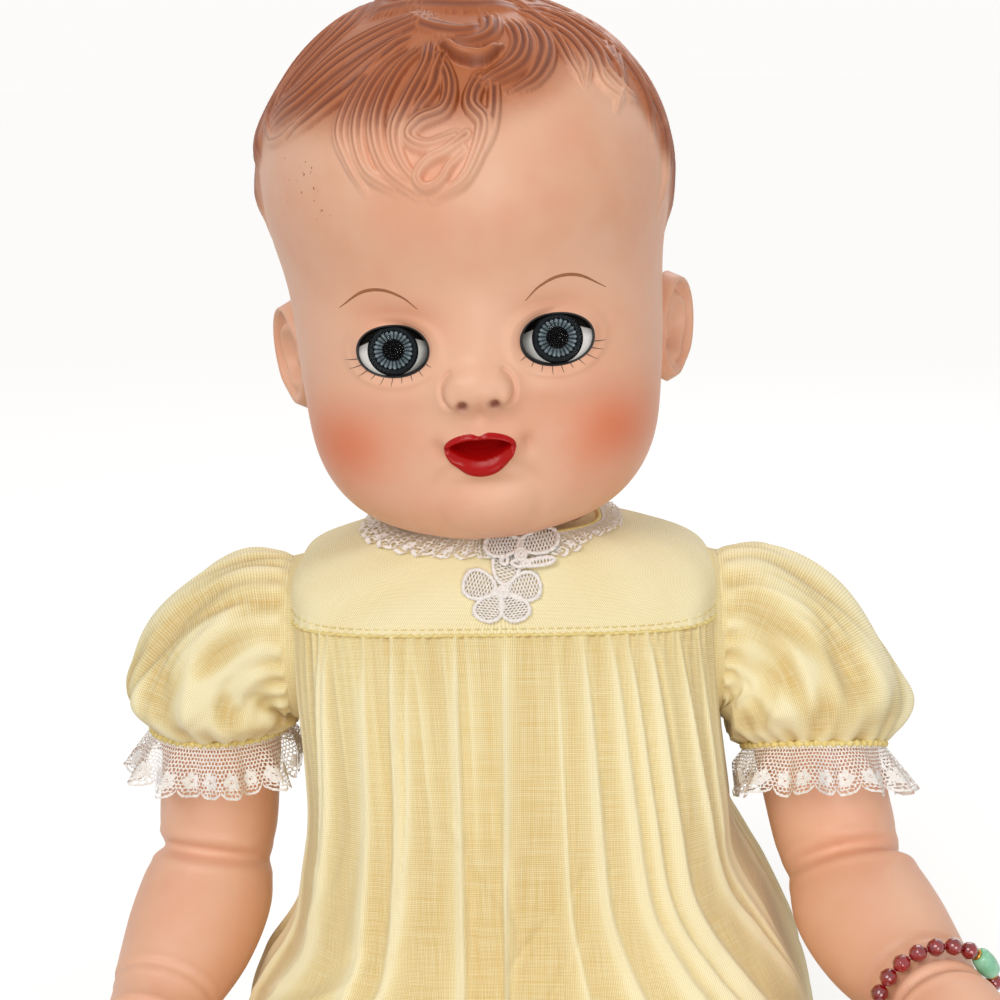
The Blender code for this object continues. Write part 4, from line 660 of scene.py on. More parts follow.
def face_paint(flat):
    """Lip paint, mouth shade, blush, nostrils, painted shade on the eye rims, and painted shade over the eye
    sockets and in the mouth dimples, as numbers per point, in mm or shares.
    """
    x, y, z = flat.T
    front = y < PAINT_FROM
    _, painted, depth = mouth_fields(x, z)
    side = np.abs(x)
    cheek = bump(np.abs(x + 0.001), 0.0385, 0.0135) * bump(z, 0.0305, 0.0130) * smoothstep(0.01, -0.02, y)
    nostril = bump(side, 0.0046, 0.0018) * bump(z, NOSE_HEIGHT - 0.0043, 0.0014)
    # Painted shade over the eye sockets, together with a sprayed eye shadow, and in the dimples at the mouth
    # corners
    shadow = (bump(side, 0.0205, 0.0100) * bump(z, EYE_HEIGHT + 0.0100, 0.0042)
              + 0.7 * bump(side, 0.0122, 0.0022) * bump(z, MOUTH_HEIGHT - 0.0006, 0.0026))
    return {
        "lip": np.where(front, painted * 1000, -10),
        "mouth": np.where(front, depth, 0),
        "blush": cheek,
        # Painted shade on the rims of the eye openings
        "rim": np.where(front, (1.045 - eye_reach(x, z)) * 9, -10),
        "nostril": np.where(front, nostril, 0),
        "shadow": np.where(front, shadow, 0),
    }


def build_head(skin):
    """One skin over face and hair. It gives back a search tree in the head's own frame."""
    points, rays = head_points()
    lift, groove, paint = hair_fields(rays)
    for axes in ((0, 1), (0,)):
        for axis in axes:
            lift = (np.roll(lift, 1, axis) + 2 * lift + np.roll(lift, -1, axis)) / 4
            groove = (np.roll(groove, 1, axis) + 2 * groove + np.roll(groove, -1, axis)) / 4
    shift = face_shift(points) + lift
    points = points + rays * shift[..., None]
    points = points + rays * lid_shift(points, rays)[..., None]
    quads = grid_faces(HEAD_ROWS, HEAD_COLUMNS)
    value = np.where(points[..., 1] < PAINT_FROM, eye_reach(points[..., 0], points[..., 2]) - 1, 1.0)
    flat, groups = cut_grid(points, value, quads)
    count = len(flat)
    flat = np.vstack([flat, flat[:HEAD_COLUMNS].mean(0), flat[-HEAD_COLUMNS:].mean(0)])
    j = np.arange(HEAD_COLUMNS)
    k = (j + 1) % HEAD_COLUMNS
    last = (HEAD_ROWS - 1) * HEAD_COLUMNS
    groups += [np.stack([np.full_like(j, count), k, j], -1),
               np.stack([np.full_like(j, count + 1), last + j, last + k], -1)]
    head = new_object("head_skin", flat, groups, None, skin)
    fields = face_paint(flat)
    fields["groove"] = np.append(groove.ravel(), (0, 0))
    fields["hair"] = np.append(paint.ravel(), (1, 0))
    for name, values in fields.items():
        add_attribute(head, name, values)
    turn_in_rims(head)
    tree = BVHTree.FromObject(head, bpy.context.evaluated_depsgraph_get())
    set_points(head, from_face(read_points(head.data, "co")))
    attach(head, "head")
    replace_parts(head, "head_shell")
    return tree


def turn_in_rims(head):
    """Gives the edges of the eye openings thickness, turned back into the head."""
    with edited(head) as shape:
        rim = [edge for edge in shape.edges if edge.is_boundary]
        for depth, shrink in ((0.0006, 0.97), (0.0032, 1.0)):
            made = bmesh.ops.extrude_edge_only(shape, edges=rim)["geom"]
            for vert in (v for v in made if isinstance(v, bmesh.types.BMVert)):
                middle = math.copysign(EYE_SPACING / 2, vert.co.x)
                vert.co.x = middle + (vert.co.x - middle) * shrink
                vert.co.z = EYE_HEIGHT + (vert.co.z - EYE_HEIGHT) * shrink
                vert.co.y += depth
            rim = [edge for edge in made if isinstance(edge, bmesh.types.BMEdge) and edge.is_boundary]
        bmesh.ops.recalc_face_normals(shape, faces=shape.faces)


def on_face(tree, x, z):
    """The place and the outward normal of the face in front of (x, z), in the head's frame."""
    place, normal, _, _ = tree.ray_cast(Vector((x, -0.2, z)), Vector((0, 1, 0)))
    return np.array(place), np.array(normal if normal.y < 0 else -normal)


def face_stroke(batch, tree, spots, widths, lift):
    """A thin painted stroke laid on the face: a flat ribbon through (x, z) spots, with its half widths."""
    line = smooth_curve([(*spot, width) for spot, width in zip(spots, widths)], 4 * len(spots) + 4)
    found = [on_face(tree, x, z) for x, z, _ in line]
    path = np.array([place + normal * lift for place, normal in found])
    normals = np.array([normal for _, normal in found])
    along = np.gradient(path, axis=0)
    across = np.cross(along, normals)
    across = normalised(across, 1e-12)
    half = np.maximum(line[:, 2:], 2e-5)
    sunk = normals * lift * 0.7
    rows = np.stack([path - across * half - sunk, path, path + across * half - sunk], 1)
    batch.add(from_face(rows.reshape(-1, 3)), [grid_faces(len(path), 3, wrap_columns=False)])


def build_brows(tree, brown):
    """Thin brows, short lower lashes and the few flecks of lost paint on the forehead."""
    brows, lashes, flecks = Batch(), Batch(), Batch()
    for side in (1, -1):
        eye = side * EYE_SPACING / 2
        spots = ((-8.0, 11.5), (-4.0, 15.0), (1.5, 17.2), (7.5, 16.6), (14.5, 12.2))
        face_stroke(brows, tree, [(eye + side * x * MM, EYE_HEIGHT + z * MM) for x, z in spots],
                    np.array((0.12, 0.34, 0.46, 0.42, 0.10)) * MM, 0.00012)
        for index, angle in enumerate(np.radians((-150, -132, -116, -101, -87, -73, -58, -43, -28, -14))):
            c, s = math.cos(angle), math.sin(angle)
            reach = 1.6 + 0.9 * abs(math.sin(2.3 * index + side)) + (0.9 if index > 6 else 0)
            lean = 0.45 + 0.1 * math.sin(3.1 * index)
            spots = []
            for share in (0.0, 0.5, 1.0):
                x = EYE_HALF_WIDTH * 1.05 * c + (c + lean * 0.5) * reach * share * MM
                z = EYE_HALF_HEIGHT * 1.05 * s + (s + 0.12 * share) * reach * share * MM
                spots.append((eye + side * x, EYE_HEIGHT + z))
            face_stroke(lashes, tree, spots, np.array((0.13, 0.10, 0.03)) * MM, 0.0001)
    draw = np.random.default_rng(11)
    for _ in range(26):
        x, z = -0.0430 + 0.0036 * draw.normal(), 0.1035 + 0.0050 * draw.normal()
        size = draw.uniform(0.10, 0.34) * MM
        face_stroke(flecks, tree, [(x, z - size), (x, z), (x + size * 0.5, z + size)],
                    np.array((0.3, 0.8, 0.3)) * size, 0.00008)
    lash = Shader("lash_paint", roughness=0.5)
    lash.colour(lash.mix(lash.noise(900.0), srgb(44, 30, 26), srgb(74, 52, 44)))
    brows.make("brows", "head", "skin", brown)
    lashes.make("lower_lashes", "head", "skin", lash.material)
    flecks.make("paint_flecks", "head", "skin", brown)


def build_ears(skin):
    """Ears with a rolled rim, an inner ridge, a hollow and a lobe."""
    rows, columns = 26, 64
    ears = Batch()
    for side in (1, -1):
        middle = np.array((0.0, EAR_BACK, EAR_HEIGHT))
        reach = first_outside(middle, np.array([[float(side), 0, 0]]), False)[0]
        root = np.array((side * reach, EAR_BACK, EAR_HEIGHT))
        turn = np.array((Matrix.Rotation(side * math.radians(-24), 3, "Z")
                         @ Matrix.Rotation(math.radians(-8), 3, "X")))
        share = np.concatenate([np.linspace(0, 1, rows), np.linspace(1, 0, rows)[1:]])
        facing = np.concatenate([np.ones(rows), -np.ones(rows - 1)])
        angle = np.linspace(0, TAU, columns, endpoint=False)
        r, a = np.meshgrid(share, angle, indexing="ij")
        front = np.broadcast_to(facing[:, None], r.shape)
        up, back = np.sin(a), np.cos(a)
        wide = 0.0118 * (1 + 0.10 * up - 0.10 * bump(up, -1, 0.5))
        y = back * wide * r + 0.0008 * up
        z = up * (EAR_LENGTH / 2) * r
        rim = 0.0042 * bump(r, 0.86, 0.09) * (0.55 + 0.45 * smoothstep(-0.9, 0.2, up + 0.6 * back))
        ridge = 0.0026 * bump(r, 0.52, 0.11) * smoothstep(-0.4, 0.5, back)
        hollow = -0.0058 * bump(np.hypot(y + 0.0012, z + 0.0010), 0, 0.0048)
        tragus = 0.0022 * bump(np.hypot(y + 0.0080, z + 0.0015), 0, 0.0026)
        lobe = 0.0010 * bump(np.hypot(y, z + 0.0125), 0, 0.0040)
        dome = 0.0022 * np.sqrt(np.clip(1 - r**2, 0, 1))
        height = np.where(front > 0, dome + rim + ridge + hollow + tragus + lobe, -1.6 * dome)
        local = np.stack([side * height, y, z], axis=-1).reshape(-1, 3)
        place = root + np.array((side * 0.0030, 0.002, 0)) + local @ turn.T
        quads = grid_faces(len(share), columns)
        ears.add(from_face(place), [quads if side > 0 else quads[:, ::-1]])
    with edited(ears.make("ears", "head", "skin", skin)) as shape:
        bmesh.ops.remove_doubles(shape, verts=shape.verts, dist=2e-5)
        bmesh.ops.recalc_face_normals(shape, faces=shape.faces)


NECK_PROFILE = ((-0.0120, 0.0205), (-0.0115, 0.0230), (-0.0098, 0.0230), (-0.0092, 0.0200), (-0.0010, 0.0199),
                (0.0006, 0.0205), (0.0014, 0.0242), (0.0040, 0.0246), (0.0120, 0.0252), (0.0260, 0.0300))


def build_neck(skin):
    """The neck below the head and the plug that holds it in the torso: heights and radii."""
    rows, columns = 60, 72
    profile = smooth_curve(NECK_PROFILE, rows)
    around = np.linspace(0, TAU, columns, endpoint=False)
    rings = np.stack([np.outer(profile[:, 1], np.cos(around)), np.outer(profile[:, 1], np.sin(around)),
                      np.repeat(profile[:, :1], columns, 1)], -1)
    new_object("neck", rings.reshape(-1, 3) + NECK, capped(rows, columns), "head", skin)


# Sleep eyes

EYE_RADIUS, IRIS_RADIUS, IRIS_DEPTH = 0.0130, 0.0071, 0.0030
# Where the black band on the eyeball starts and ends: the lid line, with the shadow under the upper lid
# painted in with it
LINE_AND_SHADOW_FROM, LINE_AND_SHADOW_TO = math.radians(19), math.radians(40)


def build_eyes():
    """Eyeballs with a lid line that also stands for the shadow under the upper lid, printed irises and clear
    lenses.
    """
    white, iris, lens = eye_materials()
    rim = math.asin(IRIS_RADIUS / EYE_RADIUS)

    def grid(low, high, rows, columns):
        around = np.linspace(0, TAU, columns, endpoint=False)
        return np.meshgrid(np.linspace(low, high, rows), around, indexing="ij")

    def on_ball(theta, around, radius):
        local = np.stack([np.sin(theta) * np.cos(around), -np.cos(theta), np.sin(theta) * np.sin(around)], -1)
        return local * np.asarray(radius)[..., None]

    for side, label in ((1, "left"), (-1, "right")):
        def made(name, local, slot, material, node):
            place = eye_middle(side) + local.reshape(-1, 3) @ LEAN.T
            obj = new_object(name, place, [grid_faces(*local.shape[:2])], "eyes", material)
            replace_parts(obj, node)
            return obj

        theta, around = grid(rim, math.pi - 0.01, 70, 128)
        local = on_ball(theta, around, np.full(theta.shape, EYE_RADIUS))
        ball = made(f"eye_{label}", local, "eye_white", white, f"eyeball_{label}")
        local = local.reshape(-1, 3)
        rise = np.arctan2(local[:, 2], -local[:, 1])
        arch = 9 * np.clip(local[:, 0] / 0.0095, -1, 1) ** 2
        # Degrees above the black band, which is the lid line and the painted shadow under the upper lid
        add_attribute(ball, "line_and_shadow", np.degrees(rise - LINE_AND_SHADOW_FROM) + arch)
        add_attribute(ball, "lid", np.degrees(rise - LINE_AND_SHADOW_TO) * (local[:, 1] < 0.011))

        r, a = grid(0.0002, IRIS_RADIUS, 60, 240)
        bowl = -EYE_RADIUS * math.cos(rim) + IRIS_DEPTH * 0.45 * (1 - (r / IRIS_RADIUS) ** 2)
        local = np.stack([r * np.cos(a), bowl, r * np.sin(a)], -1)
        disc = made(f"iris_disc_{label}", local, "iris", iris, f"iris_{label}")
        add_attribute(disc, "ray", iris_colours(r.ravel() / IRIS_RADIUS, a.ravel()))

        theta, around = grid(0.004, rim, 22, 96)
        swell = EYE_RADIUS + 0.0007 * np.clip(1 - (theta / rim) ** 2, 0, 1)
        made(f"lens_{label}", on_ball(theta, around, swell), "eye_lens", lens, f"cornea_{label}")


def eye_middle(side):
    """The middle of an eyeball, from the axis that both eyes rock on."""
    axis = np.array(JOINTS["eyes_rock"]["axis"])
    return np.array(JOINTS["eyes_rock"]["pos_m"]) + side * axis / np.linalg.norm(axis) * EYE_SPACING / 2


def iris_colours(share, angle):
    """Grey petals round a wide black pupil, inside a broad dark ring."""
    petals = 24
    petal = np.abs(np.cos(petals * angle / 2)) ** 1.5
    odd = 0.75 + 0.25 * np.sin(7 * angle + 1) * np.sin(3 * angle)
    outer = 0.72 + 0.055 * petal
    light = smoothstep(0.43, 0.50, share) * smoothstep(outer + 0.015, outer - 0.03, share)
    light = light * (0.04 + 0.96 * petal) * odd
    tip = light * smoothstep(0.58, 0.74, share)
    fine = 0.5 + 0.5 * np.cos(83 * angle + 3 * np.sin(5 * angle))
    ring = smoothstep(0.78, 0.84, share) * smoothstep(0.97, 0.90, share) * (0.2 + 0.8 * fine)
    black, petal_tone, tip_tone, ring_tone = (
        np.array(srgb(*tone)) for tone in ((7, 7, 8), (92, 106, 112), (150, 164, 168), (46, 52, 56)))
    colour = black + light[:, None] * petal_tone + tip[:, None] * tip_tone * 0.35
    return colour + (ring * 0.7)[:, None] * ring_tone


def eye_materials():
    """Glossy white under painted lids, with a black lid line that also stands for the shadow under the upper
    lid and a painted lid shadow on the white below it, a printed iris and a clear lens.
    """
    white = Shader("eye_white", roughness=0.10)
    cream = white.mix(white.noise(260.0, 3.0), srgb(238, 236, 232), srgb(222, 220, 214))
    # The black band: the lid line, and the shadow under the upper lid painted in with it
    black = white.mix(white.noise(700.0), srgb(10, 9, 9), srgb(24, 20, 18))
    lidded = white.mix(white.ramp(white.attribute("lid"), -0.6, 0.6), black, SKIN)
    line_and_shadow = white.attribute("line_and_shadow")
    # Painted shadow of the upper lid on the white, greyer up towards the black band
    cream = white.mix(white.ramp(line_and_shadow, -16.0, 0.0, 0.0, 0.6), cream, srgb(120, 112, 108))
    white.colour(white.mix(white.ramp(line_and_shadow, -1.2, 0.8), cream, lidded))
    white.link(white.ramp(line_and_shadow, -1.2, 0.8, 0.4, 0.03), white.main.inputs["Specular IOR Level"])
    white.bump(white.noise(500.0), 0.03, 0.0002)
    iris = Shader("iris_print", roughness=0.5)
    iris.set("Specular IOR Level", 0.02)
    iris.colour(iris.attribute("ray", "Color"))
    iris.bump(iris.noise(1500.0), 0.1, 0.0001)
    lens = Shader("clear_lens", roughness=0.02)
    lens.colour((0.97, 0.98, 0.99))
    lens.set("Transmission Weight", 1.0)
    lens.set("IOR", 1.10)
    lens.bump(lens.noise(300.0), 0.01, 0.0001)
    return white.material, iris.material, lens.material


def painted_face(shader, colour):
    """Sprayed cheeks and hair and painted lips over the colour of the vinyl, with painted shade on the eye
    rims, over the eye sockets, in the mouth dimples, in the hair grooves and deep in the mouth, and a painted
    highlight with rubbed paint on the hair crests.
    """
    blush = shader.math("MULTIPLY", shader.attribute("blush"), 0.72)
    colour = shader.mix(blush, colour, BLUSH)
    # Painted shade over the eye sockets, also a sprayed eye shadow there, and in the dimples at the mouth
    # corners.
    shadow = shader.math("MULTIPLY", shader.attribute("shadow"), 0.45)
    colour = shader.mix(shadow, colour, SHADE_AND_EYE_SHADOW)
    groove = shader.attribute("groove")
    shade = shader.math("MULTIPLY", shader.ramp(groove, 0.1, 0.9), 0.50)
    colour = shader.mix(shade, colour, GROOVE_SHADE)
    brown = shader.mix(shader.noise(60.0), HAIR, HAIR_LIGHT)
    # Painted shade in the hair grooves under the brown paint, where the grooves also hold darker paint.
    tone = shader.mix(shader.ramp(groove, 0.10, 1.0, 0.0, 0.85), brown, HAIR_DARK_AND_SHADE)
    # Lighter on the hair crests: paint rubbed thin there, and a painted highlight.
    tone = shader.mix(shader.ramp(groove, 0.02, 0.34, 0.42, 0.0), tone, HAIR_CREST_RUB_AND_HIGHLIGHT)
    spray = shader.math("ADD", shader.attribute("hair"),
                        shader.math("MULTIPLY", shader.math("SUBTRACT", shader.noise(140.0), 0.5), 0.18))
    spray = shader.math("ADD", spray, shader.math("MULTIPLY", shader.ramp(groove, 0.1, 0.8), 0.12))
    colour = shader.mix(shader.ramp(spray, 0.06, 0.98), colour, tone)
    nostril = shader.math("MULTIPLY", shader.attribute("nostril"), 0.9)
    colour = shader.mix(nostril, colour, NOSTRIL)
    # Painted shade: the red of the mouth darkens deeper in the opening.
    inside = shader.mix(shader.attribute("mouth"), LIP, MOUTH_SHADE)
    lips = shader.ramp(shader.attribute("lip"), -0.10, 0.12)
    colour = shader.mix(lips, colour, inside)
    # Painted shade on the rims of the eye openings.
    rim = shader.ramp(shader.attribute("rim"), -0.08, 0.10)
    colour = shader.mix(rim, colour, EYE_RIM_SHADE)
    deep = shader.attribute("mouth")
    satin, dull = shader.ramp(lips, 0.0, 1.0, 0.44, 0.20), shader.math("MULTIPLY", deep, 0.4)
    shader.link(shader.math("ADD", satin, dull), shader.main.inputs["Roughness"])
    sheen = shader.math("MULTIPLY", shader.ramp(deep, 0.0, 0.6, 0.42, 0.03),
                        shader.ramp(lips, 0.0, 1.0, 1.0, 0.5))
    shader.link(sheen, shader.main.inputs["Specular IOR Level"])
    return colour


def skin_material(name, face):
    """Satin vinyl with a faint mottle. On the face it also carries hair, lip and cheek paint, painted shade
    on the eye rims, sockets, mouth and hair grooves, and a painted highlight on the hair crests.
    """
    shader = Shader(name, roughness=0.44)
    shader.set("Subsurface Weight", 0.10)
    shader.set("Subsurface Radius", (0.004, 0.0016, 0.0008))
    shader.set("Specular IOR Level", 0.42)
    half = tuple(0.55 * a + 0.45 * b for a, b in zip(SKIN, SKIN_WARM))
    colour = shader.mix(shader.ramp(shader.noise(38.0, 3.0), 0.35, 0.75), SKIN, half)
    if face:
        colour = painted_face(shader, colour)
    shader.colour(colour)
    shader.bump(shader.noise(900.0, 2.0), 0.06, 0.0004)
    return shader.material


# Limbs: the part's own stations, skinned finely, melted together and then creased


def limb_points(stations, reference):
    """A limb through stations of (x, y, z, half width, half depth), with a round end."""
    rows, sides = smooth_curve(stations, 110), 44
    middle, sizes = rows[:, :3], rows[:, 3:]
    tangent = np.gradient(middle, axis=0)
    share = np.sin(np.linspace(0, math.pi / 2, 10))[1:-1]
    end = tangent[-1] / np.linalg.norm(tangent[-1])
    middle = np.vstack([middle, middle[-1] + np.outer(share * sizes[-1, 1], end)])
    sizes = np.vstack([sizes, np.outer(np.sqrt(1 - share**2), sizes[-1])])
    tangent = np.vstack([tangent, np.repeat(end[None], len(share), 0)])
    tangent = normalised(tangent)
    depth = np.array(reference, float) - tangent * (tangent @ np.array(reference, float))[:, None]
    depth = normalised(depth)
    width = np.cross(tangent, depth)
    a = np.linspace(0, TAU, sides, endpoint=False)
    rings = (middle[:, None] + width[:, None] * (sizes[:, :1] * np.cos(a))[..., None]
             + depth[:, None] * (sizes[:, 1:] * np.sin(a))[..., None])
    return rings.reshape(-1, 3), capped(len(middle), sides)


def finger(points, radius):
    """A round-ended finger or toe through a few points."""
    path = smooth_curve(points, 22)
    start, end = path[0] - path[1], path[-1] - path[-2]
    start, end = start / np.linalg.norm(start), end / np.linalg.norm(end)
    cap = np.sin(np.linspace(0, math.pi / 2, 7))[1:-1]
    first, last = np.outer(cap[::-1] * radius, start), np.outer(cap * radius, end)
    path = np.vstack([path[0] + first, path, path[-1] + last])
    round_off = np.sqrt(1 - cap**2)
    sizes = radius * np.concatenate([round_off[::-1], np.ones(22), round_off])
    return tube(path, sizes, 14)


def melted(name, batch, voxel, steps, slot, material):
    """One skin over the shapes of a batch."""
    obj = batch.make(name, None, slot, material)
    join = obj.modifiers.new("join", "REMESH")
    join.mode = "VOXEL"
    join.voxel_size = voxel
    soften = obj.modifiers.new("soften", "SMOOTH")
    soften.factor = 0.5
    soften.iterations = steps
    mesh = bpy.data.meshes.new_from_object(obj.evaluated_get(bpy.context.evaluated_depsgraph_get()))
    obj.modifiers.clear()
    obj.data = mesh
    mesh.shade_smooth()
    return obj, read_points(mesh, "co"), read_points(mesh, "normal")


def crease(place, at, direction, depth, width, facing=None, spread=0.0):
    """A fold pressed in across a limb, deepest on the side that it faces."""
    direction = np.array(direction, float) / np.linalg.norm(direction)
    gap = place - np.array(at)
    along = gap @ direction
    swell = 0.35 * depth * np.exp(-((np.abs(along) - 2.6 * width) / width) ** 2)
    pressed = -depth * np.exp(-(along / width) ** 2) + swell
    pressed = np.where(np.linalg.norm(gap, axis=1) < 0.032, pressed, 0)
    if facing is not None:
        out = gap - np.outer(along, direction)
        out = normalised(out, 1e-9)
        pressed = pressed * (1 - spread + spread * smoothstep(-0.5, 0.7, out @ np.array(facing, float)))
    return pressed


def dimple(place, at, depth, radius):
    """A small round hollow."""
    return -depth * np.exp(-(np.linalg.norm(place - np.array(at), axis=1) / radius) ** 2)


ARM_ROOT, UPPER_ARM, WRIST, FINGER, FINGER_NAIL = 0.0190, 0.0185, 0.0145, 0.0050, 0.00028
SHOULDER_HEIGHT = JOINTS["left_shoulder_swing"]["pos_m"][2]
ARMS = {"left": (1, math.radians(20), 0.14), "right": (-1, 0.0, 0.02)}


def arm_stations(splay):
    """The left arm from shoulder to knuckles, in the frame of its joint."""
    straight = (
        (0.0003, 0, 0, ARM_ROOT * 0.93, ARM_ROOT * 0.93), (0.0040, 0, 0, ARM_ROOT * 0.98, ARM_ROOT * 0.98),
        (0.0130, 0, 0, ARM_ROOT, ARM_ROOT), (0.0280, 0.0005, -0.0050, ARM_ROOT, ARM_ROOT),
        (0.0372, 0.0020, -0.0200, 0.0188, 0.0190), (0.0390, 0.0040, -0.0400, UPPER_ARM, UPPER_ARM),
        (0.0405, 0.0050, -0.0600, UPPER_ARM, UPPER_ARM), (0.0415, 0.0040, -0.0705, 0.0174, 0.0178),
        (0.0435, -0.0020, -0.0815, 0.0204, 0.0198), (0.0478, -0.0140, -0.0925, 0.0200, 0.0194),
        (0.0525, -0.0275, -0.1015, 0.0168, 0.0166), (0.0546, -0.0350, -0.1060, WRIST, WRIST),
        (0.0558, -0.0410, -0.1092, WRIST, WRIST), (0.0567, -0.0480, -0.1128, 0.0165, 0.0130),
        (0.0573, -0.0575, -0.1175, 0.0178, 0.0112), (0.0573, -0.0650, -0.1210, 0.0160, 0.0095),
    )
    return tuple((x + splay * max(0.0, -z), y, z, wide, deep) for x, y, z, wide, deep in straight)


def arm_to_world(points, label):
    """From the left arm's own frame to the part's frame, mirrored for the right arm."""
    side, swing, _ = ARMS[label]
    turn = np.array(Matrix.Rotation(-swing, 3, "X"))
    joint = np.array(JOINTS[f"{label}_shoulder_swing"]["pos_m"])
    return (np.asarray(points) * (side, 1, 1)) @ turn.T + joint


def hand_fingers(splay):
    """Start, bend and tip of four fingers and the thumb, and the way down."""
    knuckle = np.array(arm_stations(splay)[-1][:3])
    along = np.array((0.02, -0.89, -0.45)) / np.linalg.norm((0.02, -0.89, -0.45))
    down = np.array((0.0, -0.25, -0.97)) / np.linalg.norm((0.0, -0.25, -0.97))
    curl = (along + 1.4 * down) / np.linalg.norm(along + 1.4 * down)
    fingers = []
    for slot, length in ((-1.45, 0.0135), (-0.48, 0.0155), (0.48, 0.0150), (1.45, 0.0120)):
        start = knuckle + np.array((slot * FINGER * 1.72, 0, 0)) - along * 0.003
        bend = start + along * length
        fingers.append((start, bend, bend + curl * length * 0.72))
    base = knuckle + np.array((-0.0135, 0.0130, 0.0030))
    bend, tip = base + np.array((-0.0050, -0.0085, -0.0050)), base + np.array((-0.0050, -0.0185, -0.0095))
    fingers.append((base, bend, tip))
    return fingers, down


def build_arms(skin):
    """Arms with creased elbows and wrists, knuckle dimples and nails."""
    for label, (side, _, splay) in ARMS.items():
        batch = Batch()
        batch.add(*limb_points(arm_stations(splay), (0, 1, 0)))
        fingers, down = hand_fingers(splay)
        for index, points in enumerate(fingers):
            batch.add(*finger(points, FINGER * (1.08 if index == 4 else 1.0)))
        obj, place, normal = melted(f"arm_skin_{label}", batch, 0.00085, 7, "skin", skin)
        elbow = np.array((0.0415 + splay * 0.0715, 0.0040, -0.0715))
        wrist = np.array((0.0560 + splay * 0.1102, -0.0432, -0.1102))
        shift = crease(place, elbow, (0.15, -0.35, -0.92), 0.0016, 0.0016, (0.2, -0.9, 0.3), 0.75)
        shift += crease(place, wrist, (0.2, -0.88, -0.42), 0.0010, 0.0011, (0, 0.3, 0.9), 0.4)
        shift += crease(place, wrist + (-0.0022, 0.0125, 0.0062), (0.2, -0.86, -0.46), 0.0005, 0.0009)
        for points in fingers[:4]:
            shift += dimple(place, points[0] - down * 0.0062, 0.0009, 0.0021)
            shift += crease(place, points[1], points[2] - points[0], 0.0004, 0.0006, -down, 0.3) * (
                np.linalg.norm(place - points[1], axis=1) < 0.0062)
        for points in fingers:
            tip, back = points[2], points[2] - points[1]
            lift = -down - back * ((-down) @ back) / (back @ back)
            nail = tip + lift / np.linalg.norm(lift) * FINGER
            shift += FINGER_NAIL * smoothstep(0.0027, 0.0020, np.linalg.norm(place - nail, axis=1))
        set_points(obj, arm_to_world(place + normal * shift[:, None], label), side < 0)
        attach(obj, f"{label}_arm")
        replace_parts(obj, f"arm_{label}")


THIGH, TOE, HIP_RADIUS = 0.026, 0.0052, 0.0308
LEG = (
    (THIGH, 0.010, 0, 0.0240, THIGH * 0.90), (THIGH, -0.005, 0, 0.0298, THIGH * 0.97),
    (THIGH, -0.028, 0, 0.0300, THIGH * 0.98), (THIGH, -0.056, -0.001, 0.0282, THIGH * 0.98),
    (0.0262, -0.082, -0.003, 0.0262, 0.0262), (0.0264, -0.095, -0.005, 0.0240, 0.0240),
    (0.0268, -0.108, -0.007, 0.0248, 0.0245), (0.0272, -0.130, -0.009, 0.0236, 0.0228),
    (0.0278, -0.152, -0.011, 0.0198, 0.0196), (0.0284, -0.170, -0.013, 0.0162, 0.0165),
    (0.0288, -0.182, -0.014, 0.0160, 0.0170), (0.0290, -0.193, -0.014, 0.0140, 0.0160),
)
FOOT = ((0.0290, -0.187, -0.019, 0.0135, 0.0115), (0.0292, -0.190, -0.006, 0.0155, 0.0130),
        (0.0296, -0.194, 0.010, 0.0170, 0.0112), (0.0300, -0.197, 0.023, 0.0178, 0.0090),
        (0.0302, -0.199, 0.031, 0.0165, 0.0074))
HIP_DRUM = ((0.0003, 0.955), (0.0033, 1.0), (0.0302, 1.0), (0.0416, 0.90), (0.0489, 0.62), (0.0520, 0.22))
TOE_SIZES = (1.22, 0.98, 0.94, 0.90, 0.84)
# Place, direction, depth, width, the side that a crease faces and how much it keeps to that side
LEG_CREASES = (
    ((0.0264, -0.094, -0.005), (0, -1, -0.1), 0.0015, 0.0018, (0, 0, -1), 0.6),  # knee
    ((0.0287, -0.178, -0.012), (0, -0.9, 0.3), 0.0011, 0.0013, (0, 0.3, 1), 0.6),  # ankle
    ((0.026, -0.052, 0), (0.1, -1, 0), 0.0010, 0.0016, (1, 0, -0.2), 0.85),  # thigh
)
KNEE_DIMPLES = ((0.0200, -0.104, 0.018), (0.0335, -0.104, 0.018))
TOE_NAIL = 0.00025


